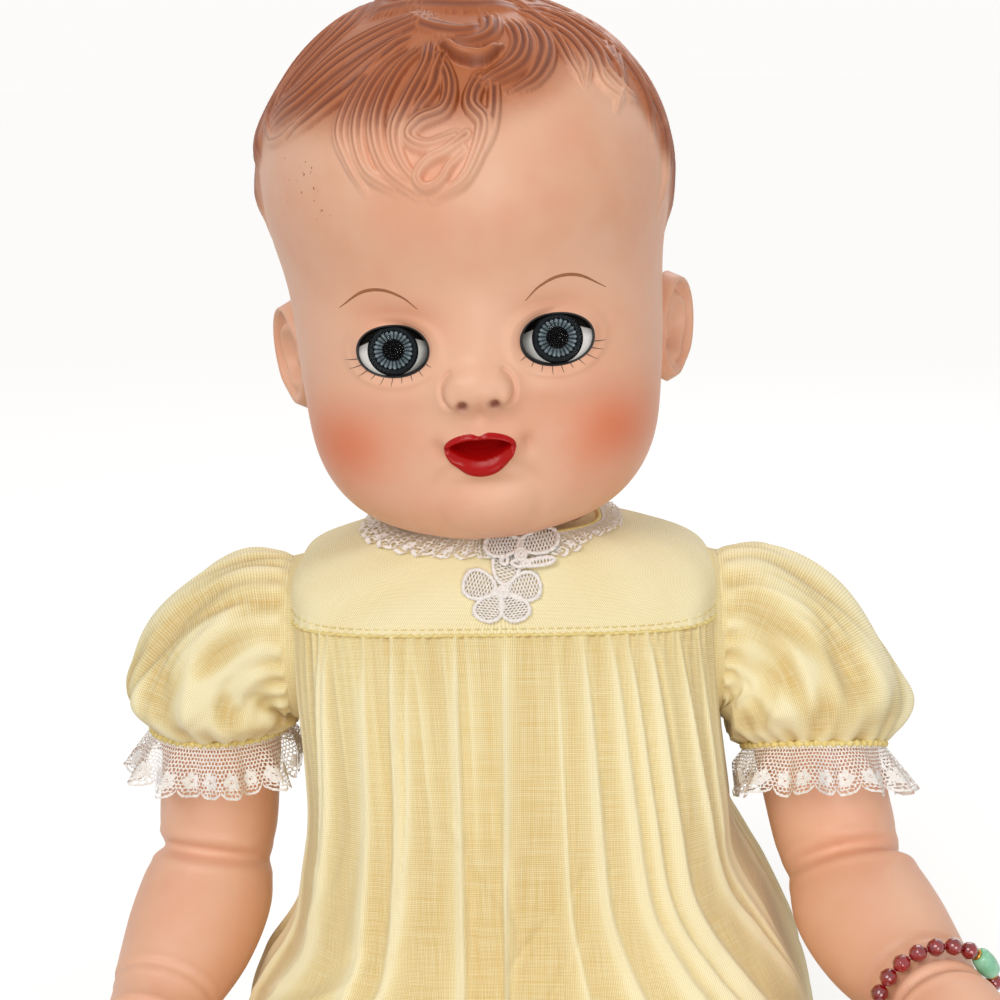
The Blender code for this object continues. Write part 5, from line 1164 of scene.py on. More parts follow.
def build_legs(skin):
    """Legs with creased knees and ankles, and toes with nails."""
    for side, label in ((1, "left"), (-1, "right")):
        batch = Batch()
        batch.add(*limb_points(LEG, (1, 0, 0)))
        batch.add(*limb_points(FOOT, (0, 1, 0)))
        barrel = smooth_curve([(x, 0, 0, r * HIP_RADIUS) for x, r in HIP_DRUM], 40)
        batch.add(*tube(barrel[:, :3], barrel[:, 3], 60))
        ball = np.array(FOOT[-1][:3])
        toes = []
        for toe, size in enumerate(TOE_SIZES):
            start = ball + np.array(((toe - 1.80) * TOE * 1.52, -0.0010, -0.0007 * toe**1.6))
            tip = start + np.array((0, -0.0012, 0.0074 - 0.0006 * toe))
            toes.append(tip)
            batch.add(*finger((start, (start + tip) / 2, tip), TOE * size))
        obj, place, normal = melted(f"leg_skin_{label}", batch, 0.0009, 4, "skin", skin)
        shift = sum(crease(place, *fold) for fold in LEG_CREASES)
        for spot in KNEE_DIMPLES:
            shift += dimple(place, spot, 0.0012, 0.0040)
        for tip in toes:
            nail = tip + np.array((0, TOE * 0.75, TOE * 0.62))
            shift += TOE_NAIL * smoothstep(0.0025, 0.0017, np.linalg.norm(place - nail, axis=1))
        joint = np.array(JOINTS[f"{label}_hip_swing"]["pos_m"])
        set_points(obj, (place + normal * shift[:, None]) * (side, 1, 1) + joint, side < 0)
        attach(obj, f"{label}_leg")
        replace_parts(obj, f"leg_{label}")


# Dress: the part's own profiles of (reach, height), with gathers, seams and a weave

YOKE_FRONT = ((0.0222, 0.2060), (0.0275, 0.1995), (0.0322, 0.1922), (0.0360, 0.1862), (0.0392, 0.1810))
YOKE_SIDE = ((0.0290, 0.2064), (0.0440, 0.2026), (0.0575, 0.1977), (0.0630, 0.1915), (0.0632, 0.1810))
YOKE_BACK = ((0.0372, 0.2062), (0.0432, 0.2004), (0.0462, 0.1944), (0.0476, 0.1880), (0.0480, 0.1815))
SKIRT_FRONT = ((0.0392, 0.1810), (0.0455, 0.1640), (0.0560, 0.1320), (0.0610, 0.1050), (0.0650, 0.0860),
               (0.0750, 0.0730), (0.0920, 0.0650), (0.1120, 0.0590))
SKIRT_LEFT = ((0.0632, 0.1810), (0.0642, 0.1500), (0.0668, 0.1250), (0.0690, 0.1120), (0.0790, 0.0930),
              (0.0890, 0.0680), (0.0930, 0.0430), (0.0940, 0.0150))
SKIRT_RIGHT = ((0.0632, 0.1810), (0.0625, 0.1600), (0.0600, 0.1250), (0.0620, 0.1080), (0.0660, 0.0850),
               (0.0765, 0.0670), (0.0845, 0.0450), (0.0870, 0.0150))
SKIRT_BACK = ((0.0480, 0.1815), (0.0495, 0.1650), (0.0510, 0.1400), (0.0530, 0.1100), (0.0560, 0.0800),
              (0.0590, 0.0500), (0.0620, 0.0250), (0.0660, 0.0055))
NECK_SQUARE, SEAM_SQUARE, HEM_SQUARE = 2.3, 4.4, 2.5
SEAM_DROP, HEM_DROP = 4.0, 14.0
SWING_ROOM, SWING_SLACK = 0.0820, 0.0036  # the skirt eases in here, so that the right arm swings past it
CLEAR_OF_FLOOR = 0.0012
ARMHOLE_RADIUS, ARMHOLE_FROM = 0.0252, 0.045
SHOULDER_Y = 0.002
# Facings of the armholes: where the cloth is felt for, the rim up to the sleeve, and the ring tucked in it
FACING_PROBE, FACING_REACH, FACING_TAPER = 0.0255, 0.0256, 0.0006
FACING_FROM, FACING_LIMIT, FACING_OUT, FACING_TUCK = 0.058, 0.0634, 0.0642, (0.0653, 0.0243)
NECK_FACING, NECK_FACING_HEIGHT, NECK_BACK = 0.0262, 0.2062, 0.010
STITCH_SHARE, STITCH_STEP = 0.93, 5
GATHERS = (-51.0, -39.4, -31.9, -27.0, -13.3, 1.2, 15.7, 22.9, 31.0, 35.7, 42.0, 51.0, 58.0)


def draped(profiles, share, angle, drop, square):
    """Points of the dress for shares down each profile and angles round it: 0 is the middle of the front."""
    fine = [smooth_curve(profile, 400) for profile in profiles]
    at = np.linspace(0, 1, 400)
    front, left, right, back = [np.stack([np.interp(share, at, f[:, k]) for k in (0, 1)], -1) for f in fine]
    c, s = np.cos(angle), np.sin(angle)
    facing = np.where((c > 0)[..., None], front, back)
    side = np.where((s > 0)[..., None], left, right)
    x = np.sign(s) * np.abs(s) ** (2 / square) * side[..., 0]
    y = -np.sign(c) * np.abs(c) ** (2 / square) * facing[..., 0]
    z = facing[..., 1] + (side[..., 1] - facing[..., 1]) * np.abs(s) ** drop
    return np.stack([x, y, z], -1)


def skirt_at(share, angle):
    drop = SEAM_DROP + (HEM_DROP - SEAM_DROP) * share
    square = SEAM_SQUARE + (HEM_SQUARE - SEAM_SQUARE) * share
    return draped((SKIRT_FRONT, SKIRT_LEFT, SKIRT_RIGHT, SKIRT_BACK), share, angle, drop, square)


def yoke_at(share, angle):
    return draped((YOKE_FRONT, YOKE_SIDE, YOKE_SIDE, YOKE_BACK), share, angle,
                  SEAM_DROP * (0.5 + 0.5 * share), NECK_SQUARE + (SEAM_SQUARE - NECK_SQUARE) * share)


def even_angles(surface, share, count):
    """Angles that are evenly spaced along the cloth at one height."""
    fine = np.linspace(-math.pi, math.pi, 4001)
    for axis in (-math.pi, -math.pi / 2, 0, math.pi / 2, math.pi):
        near = np.abs(fine - axis) < math.pi / 4
        offset = (fine[near] - axis) / (math.pi / 4)
        fine[near] = axis + np.sign(offset) * np.abs(offset) ** 1.8 * math.pi / 4
    line = surface(np.full(fine.shape, share), fine)
    arc = np.concatenate([[0], np.cumsum(np.linalg.norm(np.diff(line, axis=0), axis=1))])
    return np.interp(np.linspace(0, arc[-1], count, endpoint=False), arc, fine)


def grid_normals(points):
    """Normals of a closed grid, turned outwards."""
    around = np.roll(points, -1, axis=1) - np.roll(points, 1, axis=1)
    normal = np.cross(np.gradient(points, axis=0), around)
    normal = normalised(normal, 1e-12)
    return normal * np.sign(np.sum(normal[..., :2] * points[..., :2], -1).mean())


def cloth_lengths(points):
    """Distances in mm round and down a grid of cloth, for its weave."""
    across = np.linalg.norm(np.diff(points, axis=1, append=points[:, :1]), axis=-1).mean(0)
    down = np.linalg.norm(np.diff(points, axis=0, prepend=points[:1]), axis=-1).mean(1)
    u = np.broadcast_to(np.cumsum(across), points.shape[:2])
    v = np.broadcast_to(np.cumsum(down)[:, None], points.shape[:2])
    return u * 1000, v * 1000


def set_weave(obj, u, v, **fields):
    """Stores where the threads run, and other fields, on a piece of cloth."""
    flat = np.stack([u.ravel(), v.ravel(), np.zeros(u.size)], -1)
    extra = len(obj.data.vertices) - len(flat)
    if extra > 0:
        flat = np.vstack([flat, np.repeat(flat[-1:], extra, 0)])
    data = obj.data.attributes.new("weave", "FLOAT_VECTOR", "POINT").data
    data.foreach_set("vector", flat.astype(np.float32).ravel())
    for name, values in fields.items():
        add_attribute(obj, name, np.append(values.ravel(), np.zeros(max(extra, 0))))


def armhole_gap(points):
    """Above 0 outside the armholes."""
    gap = np.hypot(points[..., 1] - SHOULDER_Y, points[..., 2] - SHOULDER_HEIGHT) - ARMHOLE_RADIUS
    return np.where(np.abs(points[..., 0]) > ARMHOLE_FROM, gap, 1.0)


def creases(x, y, turns, span, count, seed, tall):
    """Odd creases over cloth that is turns mm round and span mm long, in mm."""
    draw = np.random.default_rng(seed)
    total = np.zeros(np.broadcast(x, y).shape)
    for _ in range(count):
        dx = (x - draw.uniform(0, turns) + turns / 2) % turns - turns / 2
        dy = y - draw.uniform(0.08, 0.92) * span
        turn = draw.uniform(0.9, 2.2)
        along, across = dx * math.cos(turn) + dy * math.sin(turn), dy * math.cos(turn) - dx * math.sin(turn)
        wide, long, high = draw.uniform(1.1, 2.4), draw.uniform(0.14, 0.34) * span, draw.uniform(-1, 1) * tall
        total += high * np.exp(-((across / wide) ** 2) - (along / long) ** 2)
    return total


def skirt_relief(arc, share):
    """How far the gathers stand out, in mm: narrow, one-sided pleats that open out below the seam."""
    draw = np.random.default_rng(5)
    turns = arc.max() - arc.min()
    spots = [(spot, 1.0) for spot in GATHERS]
    place = 66.0
    while place < turns - 46.0:
        spots.append((place if place < turns / 2 else place - turns, 1.0))
        place += draw.uniform(10.0, 17.0)
    for place in np.arange(0, turns, 4.1):
        spots.append((place + draw.uniform(-1.2, 1.2), 0.0))
    relief = np.zeros(np.broadcast(arc, share).shape)
    for spot, major in spots:
        lean, size = draw.uniform(-4.5, 4.5), draw.uniform(0.45, 1.0) if major else draw.uniform(0.3, 0.6)
        end = draw.uniform(0.55, 1.6) if major else draw.uniform(0.04, 0.26)
        bend, phase = draw.uniform(0.8, 3.4), draw.uniform(0, TAU)
        fan = (1.25 if spot > 0 else 0.75) * math.exp(-((spot / 48) ** 2))
        middle = spot * (1 + fan * share) + lean * share + bend * np.sin(3.1 * share + phase) * share
        gap = (arc - middle + turns / 2) % turns - turns / 2
        wide = (0.75 + 0.75 * share**0.8) * draw.uniform(0.7, 1.3)
        first, second = (0.6, 1.9) if draw.uniform() < 0.5 else (1.9, 0.6)
        u = np.where(gap < 0, gap / (wide * first), gap / (wide * second))
        high = (0.9 + 1.6 * smoothstep(0.0, 0.25, share)) * size * smoothstep(end + 0.25, end - 0.2, share)
        broad = 0.20 * high * np.exp(-np.abs(u / 2.5) ** 2)
        relief = np.maximum(relief, high * np.exp(-np.abs(u) ** 1.5)) + broad
    pinch = 0.45 * np.sin(arc * TAU / 2.9 + 1.4 * np.sin(arc / 7)) * np.exp(-share / 0.045)
    swing = 0.5 * np.sin(arc / 5.1 + 1.9 * np.sin(arc / 37 + 2.4 * share))
    swing = swing * np.sin(arc / 23 + 1.7 * share + 1)
    slack = 1.0 * np.sin(arc / 15 + 3 * share) * np.sin(5.2 * share + arc / 31)
    small = 0.22 * np.sin(arc / 1.9 + 11 * share + 2 * np.sin(arc / 9)) * np.sin(17 * share + arc / 4)
    loose = creases(arc, 185 * share, turns, 185, 70, 8, 0.9)
    return relief + pinch + (swing + slack + small + loose) * smoothstep(0.06, 0.4, share), relief


def cut_cloth(name, node, points, cloth, **fields):
    """A piece of the dress over a grid of points, without the armholes."""
    u, v = cloth_lengths(points)
    flat, groups = cut_grid(points, armhole_gap(points), grid_faces(*points.shape[:2]))
    piece = new_object(name, flat + DOLL, groups, None, cloth)
    set_weave(piece, u, v, **fields)
    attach(piece, "torso")
    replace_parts(piece, node)
    return piece


def build_skirt(cloth):
    """The gathered skirt, kept off the floor and clear of the right arm."""
    columns, rows = 760, 190
    angle = even_angles(skirt_at, 0.4, columns)
    s, a = np.meshgrid(np.linspace(0, 1, rows) ** 1.15, angle, indexing="ij")
    points = skirt_at(s, a)
    seam = skirt_at(np.zeros(columns), angle)
    steps = np.linalg.norm(np.diff(seam, axis=0), axis=1)
    arc = np.concatenate([[0], np.cumsum(steps)]) * 1000
    arc = arc - np.interp(0.0, angle, arc)
    relief, ridge = skirt_relief(arc[None], s)
    side_room = 1 - 0.72 * smoothstep(0.80, 0.98, np.abs(np.sin(a))) * smoothstep(0.75, 0.35, s)
    points = points + grid_normals(points) * ((relief - 0.7) * MM * side_room)[..., None]
    points[..., 2] = np.maximum(points[..., 2], CLEAR_OF_FLOOR)
    over = np.maximum(-points[..., 0] - SWING_ROOM, 0)
    points[..., 0] += over - SWING_SLACK * (1 - np.exp(-over / SWING_SLACK))
    # fold is pale on the pleats, where the cloth is doubled, and deeper between them as painted shade
    return cut_cloth("skirt_cloth", "dress_skirt", points, cloth,
                     fold=np.clip(0.16 + ridge / 1.9, 0, 1), hem=smoothstep(0.925, 0.93, s))


def build_yoke(cloth):
    """The yoke over chest and shoulders, nearly smooth."""
    columns, rows = 560, 90
    angle = even_angles(yoke_at, 0.6, columns)
    s, a = np.meshgrid(np.linspace(0, 1, rows), angle, indexing="ij")
    points = yoke_at(s, a)
    ease = 0.25 * np.sin(a * 9 + 4 * s) * np.sin(3 * s + a * 2)
    ease = ease + 0.25 * np.sin(a * 41) * np.exp(-(1 - s) / 0.05)
    points = points + grid_normals(points) * (ease * MM)[..., None]
    # fold follows the ease: paler where the cloth stands out and deeper where it sinks, as painted light and
    # shade
    return cut_cloth("yoke_cloth", "dress_yoke", points, cloth, fold=0.75 + 0.25 * ease, hem=0 * s)


def build_facings(cloth, pieces):
    """Narrow bands that close the dress to the sleeves and to the neck."""
    depsgraph = bpy.context.evaluated_depsgraph_get()
    trees = [BVHTree.FromObject(piece, depsgraph) for piece in pieces]
    bands = Batch()
    sides, levels = 160, 5
    faces = grid_faces(sides, levels, wrap_columns=False, wrap_rows=True)
    for side in (1, -1):
        rows = []
        for turn in np.linspace(0, TAU, sides, endpoint=False):
            c, s = math.cos(turn), math.sin(turn)
            probe = np.array((side * 0.09, SHOULDER_Y + FACING_PROBE * c, SHOULDER_HEIGHT + FACING_PROBE * s))
            start = Vector(DOLL + probe)
            found = [hit[0].x for tree in trees if (hit := tree.ray_cast(start, Vector((-side, 0, 0))))[0]]
            inner = max(side * (x - DOLL[0]) for x in found) if found else FACING_FROM
            inner = min(inner, FACING_LIMIT)
            band = [(inner + (FACING_OUT - inner) * t, FACING_REACH - FACING_TAPER * t)
                    for t in (-0.1, 0.3, 0.7, 1.0)]
            rows.append([(side * x, SHOULDER_Y + reach * c, SHOULDER_HEIGHT + reach * s)
                         for x, reach in (*band, FACING_TUCK)])
        bands.add(np.array(rows).reshape(-1, 3) + DOLL, [faces])
    edge = yoke_at(np.zeros(sides), np.linspace(-math.pi, math.pi, sides, endpoint=False))
    flow = edge[:, :2] - (0, NECK_BACK)
    inner = normalised(flow) * NECK_FACING + (0, NECK_BACK)
    inner = np.column_stack([inner, np.full(sides, NECK_FACING_HEIGHT)])
    rows = np.stack([edge + (inner - edge) * t for t in np.linspace(0, 1, levels)], 1)
    bands.add(rows.reshape(-1, 3) + DOLL, [faces])
    band = bands.make("dress_facings", "torso", "dress_cloth", cloth)
    u, v = np.meshgrid(np.linspace(0, 480, 3 * sides), np.linspace(0, 4, levels), indexing="ij")
    set_weave(band, u, v, fold=0.4 + 0 * u, hem=0 * u)


def build_trim(thread):
    """Cords in the seams, thread in the buttons and a row of stitches."""
    trim = Batch()
    count = 900
    line = yoke_at(np.ones(count), even_angles(yoke_at, 1.0, count))
    size = 0.00050 + 0.00016 * np.sin(np.arange(count) * TAU / 5.6)
    trim.add(*tube(line + DOLL - (0, 0, 0.0002), size, 8, closed=True))
    count = 400
    trim.add(*tube(yoke_at(np.zeros(count), even_angles(yoke_at, 0.0, count)) + DOLL, 0.0008, 8, closed=True))
    trim.make("seam_cord", "torso", "dress_cloth", thread)
    stitches = Batch()
    for number in (1, 2, 3):
        low, high = (np.array(corner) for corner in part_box(f"back_button_{number}"))
        middle = (low + high) / 2
        for dx, dz in ((0.0006, 0.0006), (-0.0006, 0.0006), (0.0006, -0.0006), (-0.0006, -0.0006)):
            start = middle + (dx, 0, dz)
            stitches.add(*tube(np.array((start, start - (0, 0.004, 0), start - (0, 0.008, 0))), 0.0004, 6))
    count = 720
    even = even_angles(yoke_at, STITCH_SHARE, count)
    for start in range(0, count, STITCH_STEP):
        pick = (start + np.arange(4)) % count
        line = yoke_at(np.full(4, STITCH_SHARE), even[pick])
        if armhole_gap(line).min() < 0.0005:
            continue
        out = line * (1, 1, 0) / np.linalg.norm(line[:, :2], axis=1, keepdims=True)
        line = line + out * np.array((0.0001, 0.00032, 0.00032, 0.0001))[:, None]
        stitches.add(*tube(line + DOLL, 0.00016, 6))
    stitches.make("seam_stitches", "torso", "dress_cloth", thread)


def build_dress(cloth, thread):
    skirt, yoke = build_skirt(cloth), build_yoke(cloth)
    build_facings(cloth, (skirt, yoke))
    build_trim(thread)


SLEEVE_IN, SLEEVE_PUFF, SLEEVE_ROWS = 0.0145, 0.0302, 84
CUFF_RADIUS, CUFF_LACE_LENGTH, CUFF_FLARE, RUFFLES = 0.0207, 0.0150, 0.0285, 11
SLEEVE_LEAN = 0.8  # how much of the arm's splay the inner side of a sleeve follows


def sleeve_path(splay, length):
    """Rows of (x, y, z, tilt, radius) from the armhole to the cuff."""
    straight = (
        (SLEEVE_IN, 0.0, 0.0003, 0.0, 0.0), (0.0225, 0.0, 0.0, 0.30, 0.35),
        (0.0315, 0.001, -0.006, 0.75, 0.62), (0.0365, 0.002, -0.015, 1.20, 0.84),
        (0.0385, 0.003, -0.0245, 1.42, 1.0), (0.0385, 0.0035, -0.031, 1.52, 0.55),
        (0.0386, 0.0038, -0.035, math.pi / 2, 0.0),
    )
    rows = []
    for x, y, z, tilt, puff in straight:
        base = ARMHOLE_RADIUS - 0.0006 if tilt < 0.5 else CUFF_RADIUS
        rows.append((x + splay * max(0.0, -z), y, z * length, tilt, base + (SLEEVE_PUFF - base) * puff))
    return smooth_curve(rows, SLEEVE_ROWS)


def build_sleeve(label, path, cloth):
    """A puffed sleeve that keeps clear of the dress on its inner side."""
    side, _, splay = ARMS[label]
    columns = 300
    a = np.linspace(0, TAU, columns, endpoint=False)[None]
    share = np.linspace(0, 1, SLEEVE_ROWS)[:, None]
    x, y, z, tilt, radius = [column[:, None] for column in path.T]
    wave = np.sin(21 * a + 2.2 * np.sin(3 * a) + side)
    top, low = np.exp(-share / 0.24), np.exp(-(1 - share) / 0.22)
    soft = (np.sin(5 * a + 6 * share + side) * np.sin(7 * share + 2 * a)
            + 0.6 * np.sin(9 * a - 8 * share) * np.sin(4 * share + a + 1))
    crisp = np.abs(np.sin(6.5 * a + 5 * share + 1.3 * np.sin(4 * a))) ** 3
    puffed = np.sin(math.pi * share) ** 0.6
    relief = (0.0009 * wave * (top + 1.1 * low) * smoothstep(0, 0.04, share) * smoothstep(1, 0.97, share)
              + 0.0019 * soft * puffed + 0.0022 * (crisp - 0.5) * puffed * low**0.4)
    relief = relief + creases(28 * a, 52 * share, 28 * TAU, 52, 44, 4 + side, 1.5) * MM * puffed
    size = radius + relief - 0.0006 * puffed
    points = np.stack([x + np.sin(tilt) * size * np.cos(a), y + size * np.sin(a),
                       z + np.cos(tilt) * size * np.cos(a)], -1)
    clear = smoothstep(0.0247, 0.0285, np.hypot(points[..., 1], points[..., 2]))
    inner = SLEEVE_IN + splay * np.maximum(0, -points[..., 2]) * SLEEVE_LEAN * clear
    points[..., 0] = np.maximum(points[..., 0], inner + 0.0002 * wave)
    u, v = cloth_lengths(points)
    faces = grid_faces(SLEEVE_ROWS, columns)
    obj = new_object(f"sleeve_cloth_{label}", arm_to_world(points.reshape(-1, 3), label),
                     [faces if side > 0 else faces[:, ::-1]], f"{label}_arm", cloth)
    # fold follows the relief: paler where the cloth stands out and deeper where it sinks, as painted light
    # and shade
    set_weave(obj, u, v, fold=0.55 + 350 * relief, hem=0 * u)
    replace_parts(obj, f"sleeve_{label}")


def build_cuff(label, end, thread, lace):
    """A gathered cord and a lace frill at the end of a sleeve."""
    splay = ARMS[label][2]
    band = Batch()
    ring = np.linspace(0, TAU, 420, endpoint=False)
    bumps = CUFF_RADIUS + 0.0003 + 0.0005 * np.abs(np.sin(26 * ring))
    line = np.stack([end[0] + bumps * np.cos(ring), end[1] + bumps * np.sin(ring), np.full(420, end[2])], -1)
    band.add(*tube(arm_to_world(line, label), 0.0009 + 0.0003 * np.sin(52 * ring), 8, closed=True))
    band.make(f"cuff_gather_{label}", f"{label}_arm", "dress_cloth", thread)

    def frill(u, v):
        angle = TAU * u
        ruffle = 0.0034 * v**1.1 * np.cos(RUFFLES * angle + 0.9 * np.sin(2 * angle))
        ruffle = ruffle + 0.0007 * v * np.sin(29 * angle)
        size = CUFF_RADIUS + 0.0004 + (CUFF_FLARE - CUFF_RADIUS) * v**0.85 + ruffle
        drop = CUFF_LACE_LENGTH * v * (1 - 0.05 * np.cos(RUFFLES * angle))
        place = np.stack([end[0] + size * np.cos(angle), end[1] + size * np.sin(angle),
                          end[2] - 0.0002 - drop], -1)
        inner = SLEEVE_IN + splay * np.maximum(0, -place[..., 2]) * SLEEVE_LEAN
        place[..., 0] = np.maximum(place[..., 0], inner)
        return arm_to_world(place.reshape(-1, 3), label)

    piece = lace_strip(f"cuff_frill_{label}", frill, 182.0, 15.0, 26, f"{label}_arm", lace)
    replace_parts(piece, f"cuff_lace_{label}")


def build_sleeves(cloth, thread, lace):
    for label, (side, _, splay) in ARMS.items():
        path = sleeve_path(splay, 1.0 if side > 0 else 0.82)
        build_sleeve(label, path, cloth)
        build_cuff(label, path[-1], thread, lace)


def lace_strip(name, surface, length, width, scallops, body, material):
    """A strip of lace, cut out thread by thread: net, a flower in every scallop and a scalloped edge."""
    cell = 0.26
    columns, rows = int(length / cell), int(width / cell) + 1
    u = np.arange(columns) / columns
    v = np.linspace(0, 1, rows)
    uu, vv = np.meshgrid(u, v)
    points = surface(uu, vv)
    quads = grid_faces(rows, columns)
    x = ((uu + 0.5 / columns) * length)[:-1].ravel()
    y = ((vv + 0.5 / (rows - 1)) * width)[:-1].ravel()
    period = length / scallops
    within = (x / period) % 1 - 0.5
    edge = width * (0.80 + 0.19 * np.sqrt(np.clip(1 - (2 * within) ** 2, 0, 1)))
    pitch = 1.25
    row = np.floor(y / (pitch * 0.87))
    hx = (x / pitch + 0.5 * (row % 2)) % 1 - 0.5
    hy = y / (pitch * 0.87) - row - 0.5
    net = np.hypot(hx, hy * 0.87) > 0.36
    gx, gy = within * period, y - width * 0.66
    flower = np.hypot(gx, gy)
    turn = np.arctan2(gy, gx)
    petal = width * 0.17 * (0.62 + 0.38 * np.abs(np.cos(2.5 * turn)))
    solid = (flower < petal) & (flower > width * 0.035)
    keep = (net | solid | (y < 0.9) | (y > edge - 0.75)) & (y < edge)
    keep &= ~((y > edge - 1.35) & (y < edge - 0.75) & (np.abs((x / 1.1) % 1 - 0.5) < 0.3))
    obj = new_object(name, points, [quads[keep]], None, material)
    with edited(obj) as shape:
        loose = [vert for vert in shape.verts if not vert.link_faces]
        bmesh.ops.delete(shape, geom=loose, context="VERTS")
    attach(obj, body)
    return obj


def front_yoke(x, share):
    """A place on the front of the yoke by its sideways distance, with its outward normal."""
    square = NECK_SQUARE + (SEAM_SQUARE - NECK_SQUARE) * share
    fine = smooth_curve(YOKE_SIDE, 400)
    reach = np.interp(share, np.linspace(0, 1, 400), fine[:, 0])

    def at(x, share):
        sine = np.sign(x) * np.clip(np.abs(x) / reach, 0, 0.999) ** (square / 2)
        return yoke_at(share, np.arcsin(sine))

    place = at(x, share)
    across, down = at(x + 0.0005, share) - at(x - 0.0005, share), at(x, share + 0.01) - at(x, share - 0.01)
    normal = np.cross(across, down)
    normal = normalised(normal)
    return place, normal * np.where(normal[..., 1:2] < 0, 1, -1)


def build_appliques(lace):
    """Corded lace flowers: an outline cord and a net for each petal."""
    slope = np.linalg.norm(np.array(YOKE_FRONT[-1]) - np.array(YOKE_FRONT[0]))

    def flower(name, node, x0, share0, petals, lift):
        batch = Batch()

        def cord(dx, dz, radius, closed, rise=0.0):
            place, normal = front_yoke(x0 + np.asarray(dx) * MM, share0 - np.asarray(dz) * MM / slope)
            batch.add(*tube(place + normal * (lift + rise) + DOLL, radius, 7, closed=closed))

        for px, pz, length, width, turn in petals:
            t = np.linspace(0, TAU, 56, endpoint=False)
            c, s = math.cos(turn), math.sin(turn)
            lx = length * np.cos(t)
            lz = width * np.sin(t) * (1 + 0.22 * np.cos(t))
            cord(px + c * lx - s * lz, pz + s * lx + c * lz, 0.00060 + 0.00010 * np.sin(14 * t), True, 0.0001)
            for step in np.arange(-length + 0.7, length - 0.4, 0.95):
                half = width * math.sqrt(max(0.0, 1 - (step / length) ** 2)) * (1 + 0.22 * step / length)
                k = np.linspace(-half, half, 7)
                for slant in (0.45, -0.45):
                    gx = np.clip(step + slant * k, -length, length)
                    cord(px + c * gx - s * k, pz + s * gx + c * k, 0.00020, False)
        t = np.linspace(0, TAU, 24, endpoint=False)
        middle = (np.mean([p[0] for p in petals]), np.mean([p[1] for p in petals]))
        cord(middle[0] + 1.5 * np.cos(t), middle[1] + 1.5 * np.sin(t), 0.00060, True, 0.0004)
        cord(middle[0] + 0.6 * np.cos(t), middle[1] + 0.6 * np.sin(t), 0.00055, True, 0.0005)
        obj = batch.make(name, "torso", "lace", lace)
        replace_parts(obj, node)

    five = []
    for way in np.radians((78, 6, -58, -122, 168)):
        five.append((6.5 * math.cos(way), 6.5 * math.sin(way), 4.7, 3.9, way))
    flower("lace_flower", "flower_applique", 0.0000, 0.51, five, 0.0009)
    pair = [(-4.6, 0.3, 5.4, 3.1, math.pi + 0.05), (5.2, 0.8, 5.8, 3.2, 0.12),
            (0.4, -4.8, 0.9, 2.6, math.pi / 2), (5.2, -4.6, 4.8, 0.9, 0.10), (-4.4, -4.0, 1.0, 1.0, 0)]
    flower("lace_motif", "collar_applique", 0.0052, 0.13, pair, 0.0021)


def build_collar(lace):
    """A lace frill round the neck, narrower at the doll's left side."""
    even = even_angles(yoke_at, 0.12, 1601)
    turn = (even - even[0]) / (even[-1] - even[0] + 1e-9)

    def frill(u, v):
        angle = np.interp(u, np.linspace(0, 1, len(turn)), even)
        wide = 0.22 - 0.12 * smoothstep(0.25, 0.8, angle) * smoothstep(2.6, 2.0, angle)
        share = 0.015 + wide * v
        place = yoke_at(share, angle)
        around = yoke_at(share, angle + 0.002) - yoke_at(share, angle - 0.002)
        down = yoke_at(share + 0.01, angle) - yoke_at(share - 0.01, angle)
        normal = np.cross(around, down)
        normal = normalised(normal, 1e-12)
        normal *= np.where(np.sum(normal[..., :2] * place[..., :2], -1, keepdims=True) < 0, -1, 1)
        lift = 0.0006 + 0.0005 * v + 0.0006 * v * np.sin(TAU * u * 58)
        return (place + normal * lift[..., None] + DOLL).reshape(-1, 3)

    piece = lace_strip("collar_frill", frill, 250.0, 8.0, 40, "torso", lace)
    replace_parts(piece, "collar_lace")


# Bracelet


BRACELET_REACH, BEAD_RADIUS, BEAD_GAP, GREEN_AT = 0.0177, 0.0026, 0.0006, 0.6
STONE_LENGTH, STONE_RADIUS = 0.0085, 0.0031
CLASP_ROOM, CLASP_LENGTH, CLASP_RADIUS = 0.005, 0.0047, 0.0019
# Profiles of (place along the string, radius), as shares of length and radius; the ring is in metres
BEAD_FACETS = ((-0.97, 0.30), (-0.62, 0.78), (-0.05, 1.0), (0.05, 1.0), (0.62, 0.78), (0.97, 0.30))
STONE_BARREL = ((-0.5, 0.50), (-0.40, 0.86), (0, 1.0), (0.40, 0.86), (0.5, 0.50))
CLASP_BARREL = ((-0.5, 0.5), (-0.42, 0.9), (-0.3, 1.0), (-0.2, 0.8), (0, 0.8), (0.2, 0.8), (0.3, 1.0),
                (0.42, 0.9), (0.5, 0.5))
SPACER_RING = ((-0.0005, 0.0012), (-0.0003, 0.0017), (0.0003, 0.0017), (0.0005, 0.0012))


def scaled(profile, length, radius):
    """A profile of shares, in metres."""
    return [(u * length, r * radius) for u, r in profile]


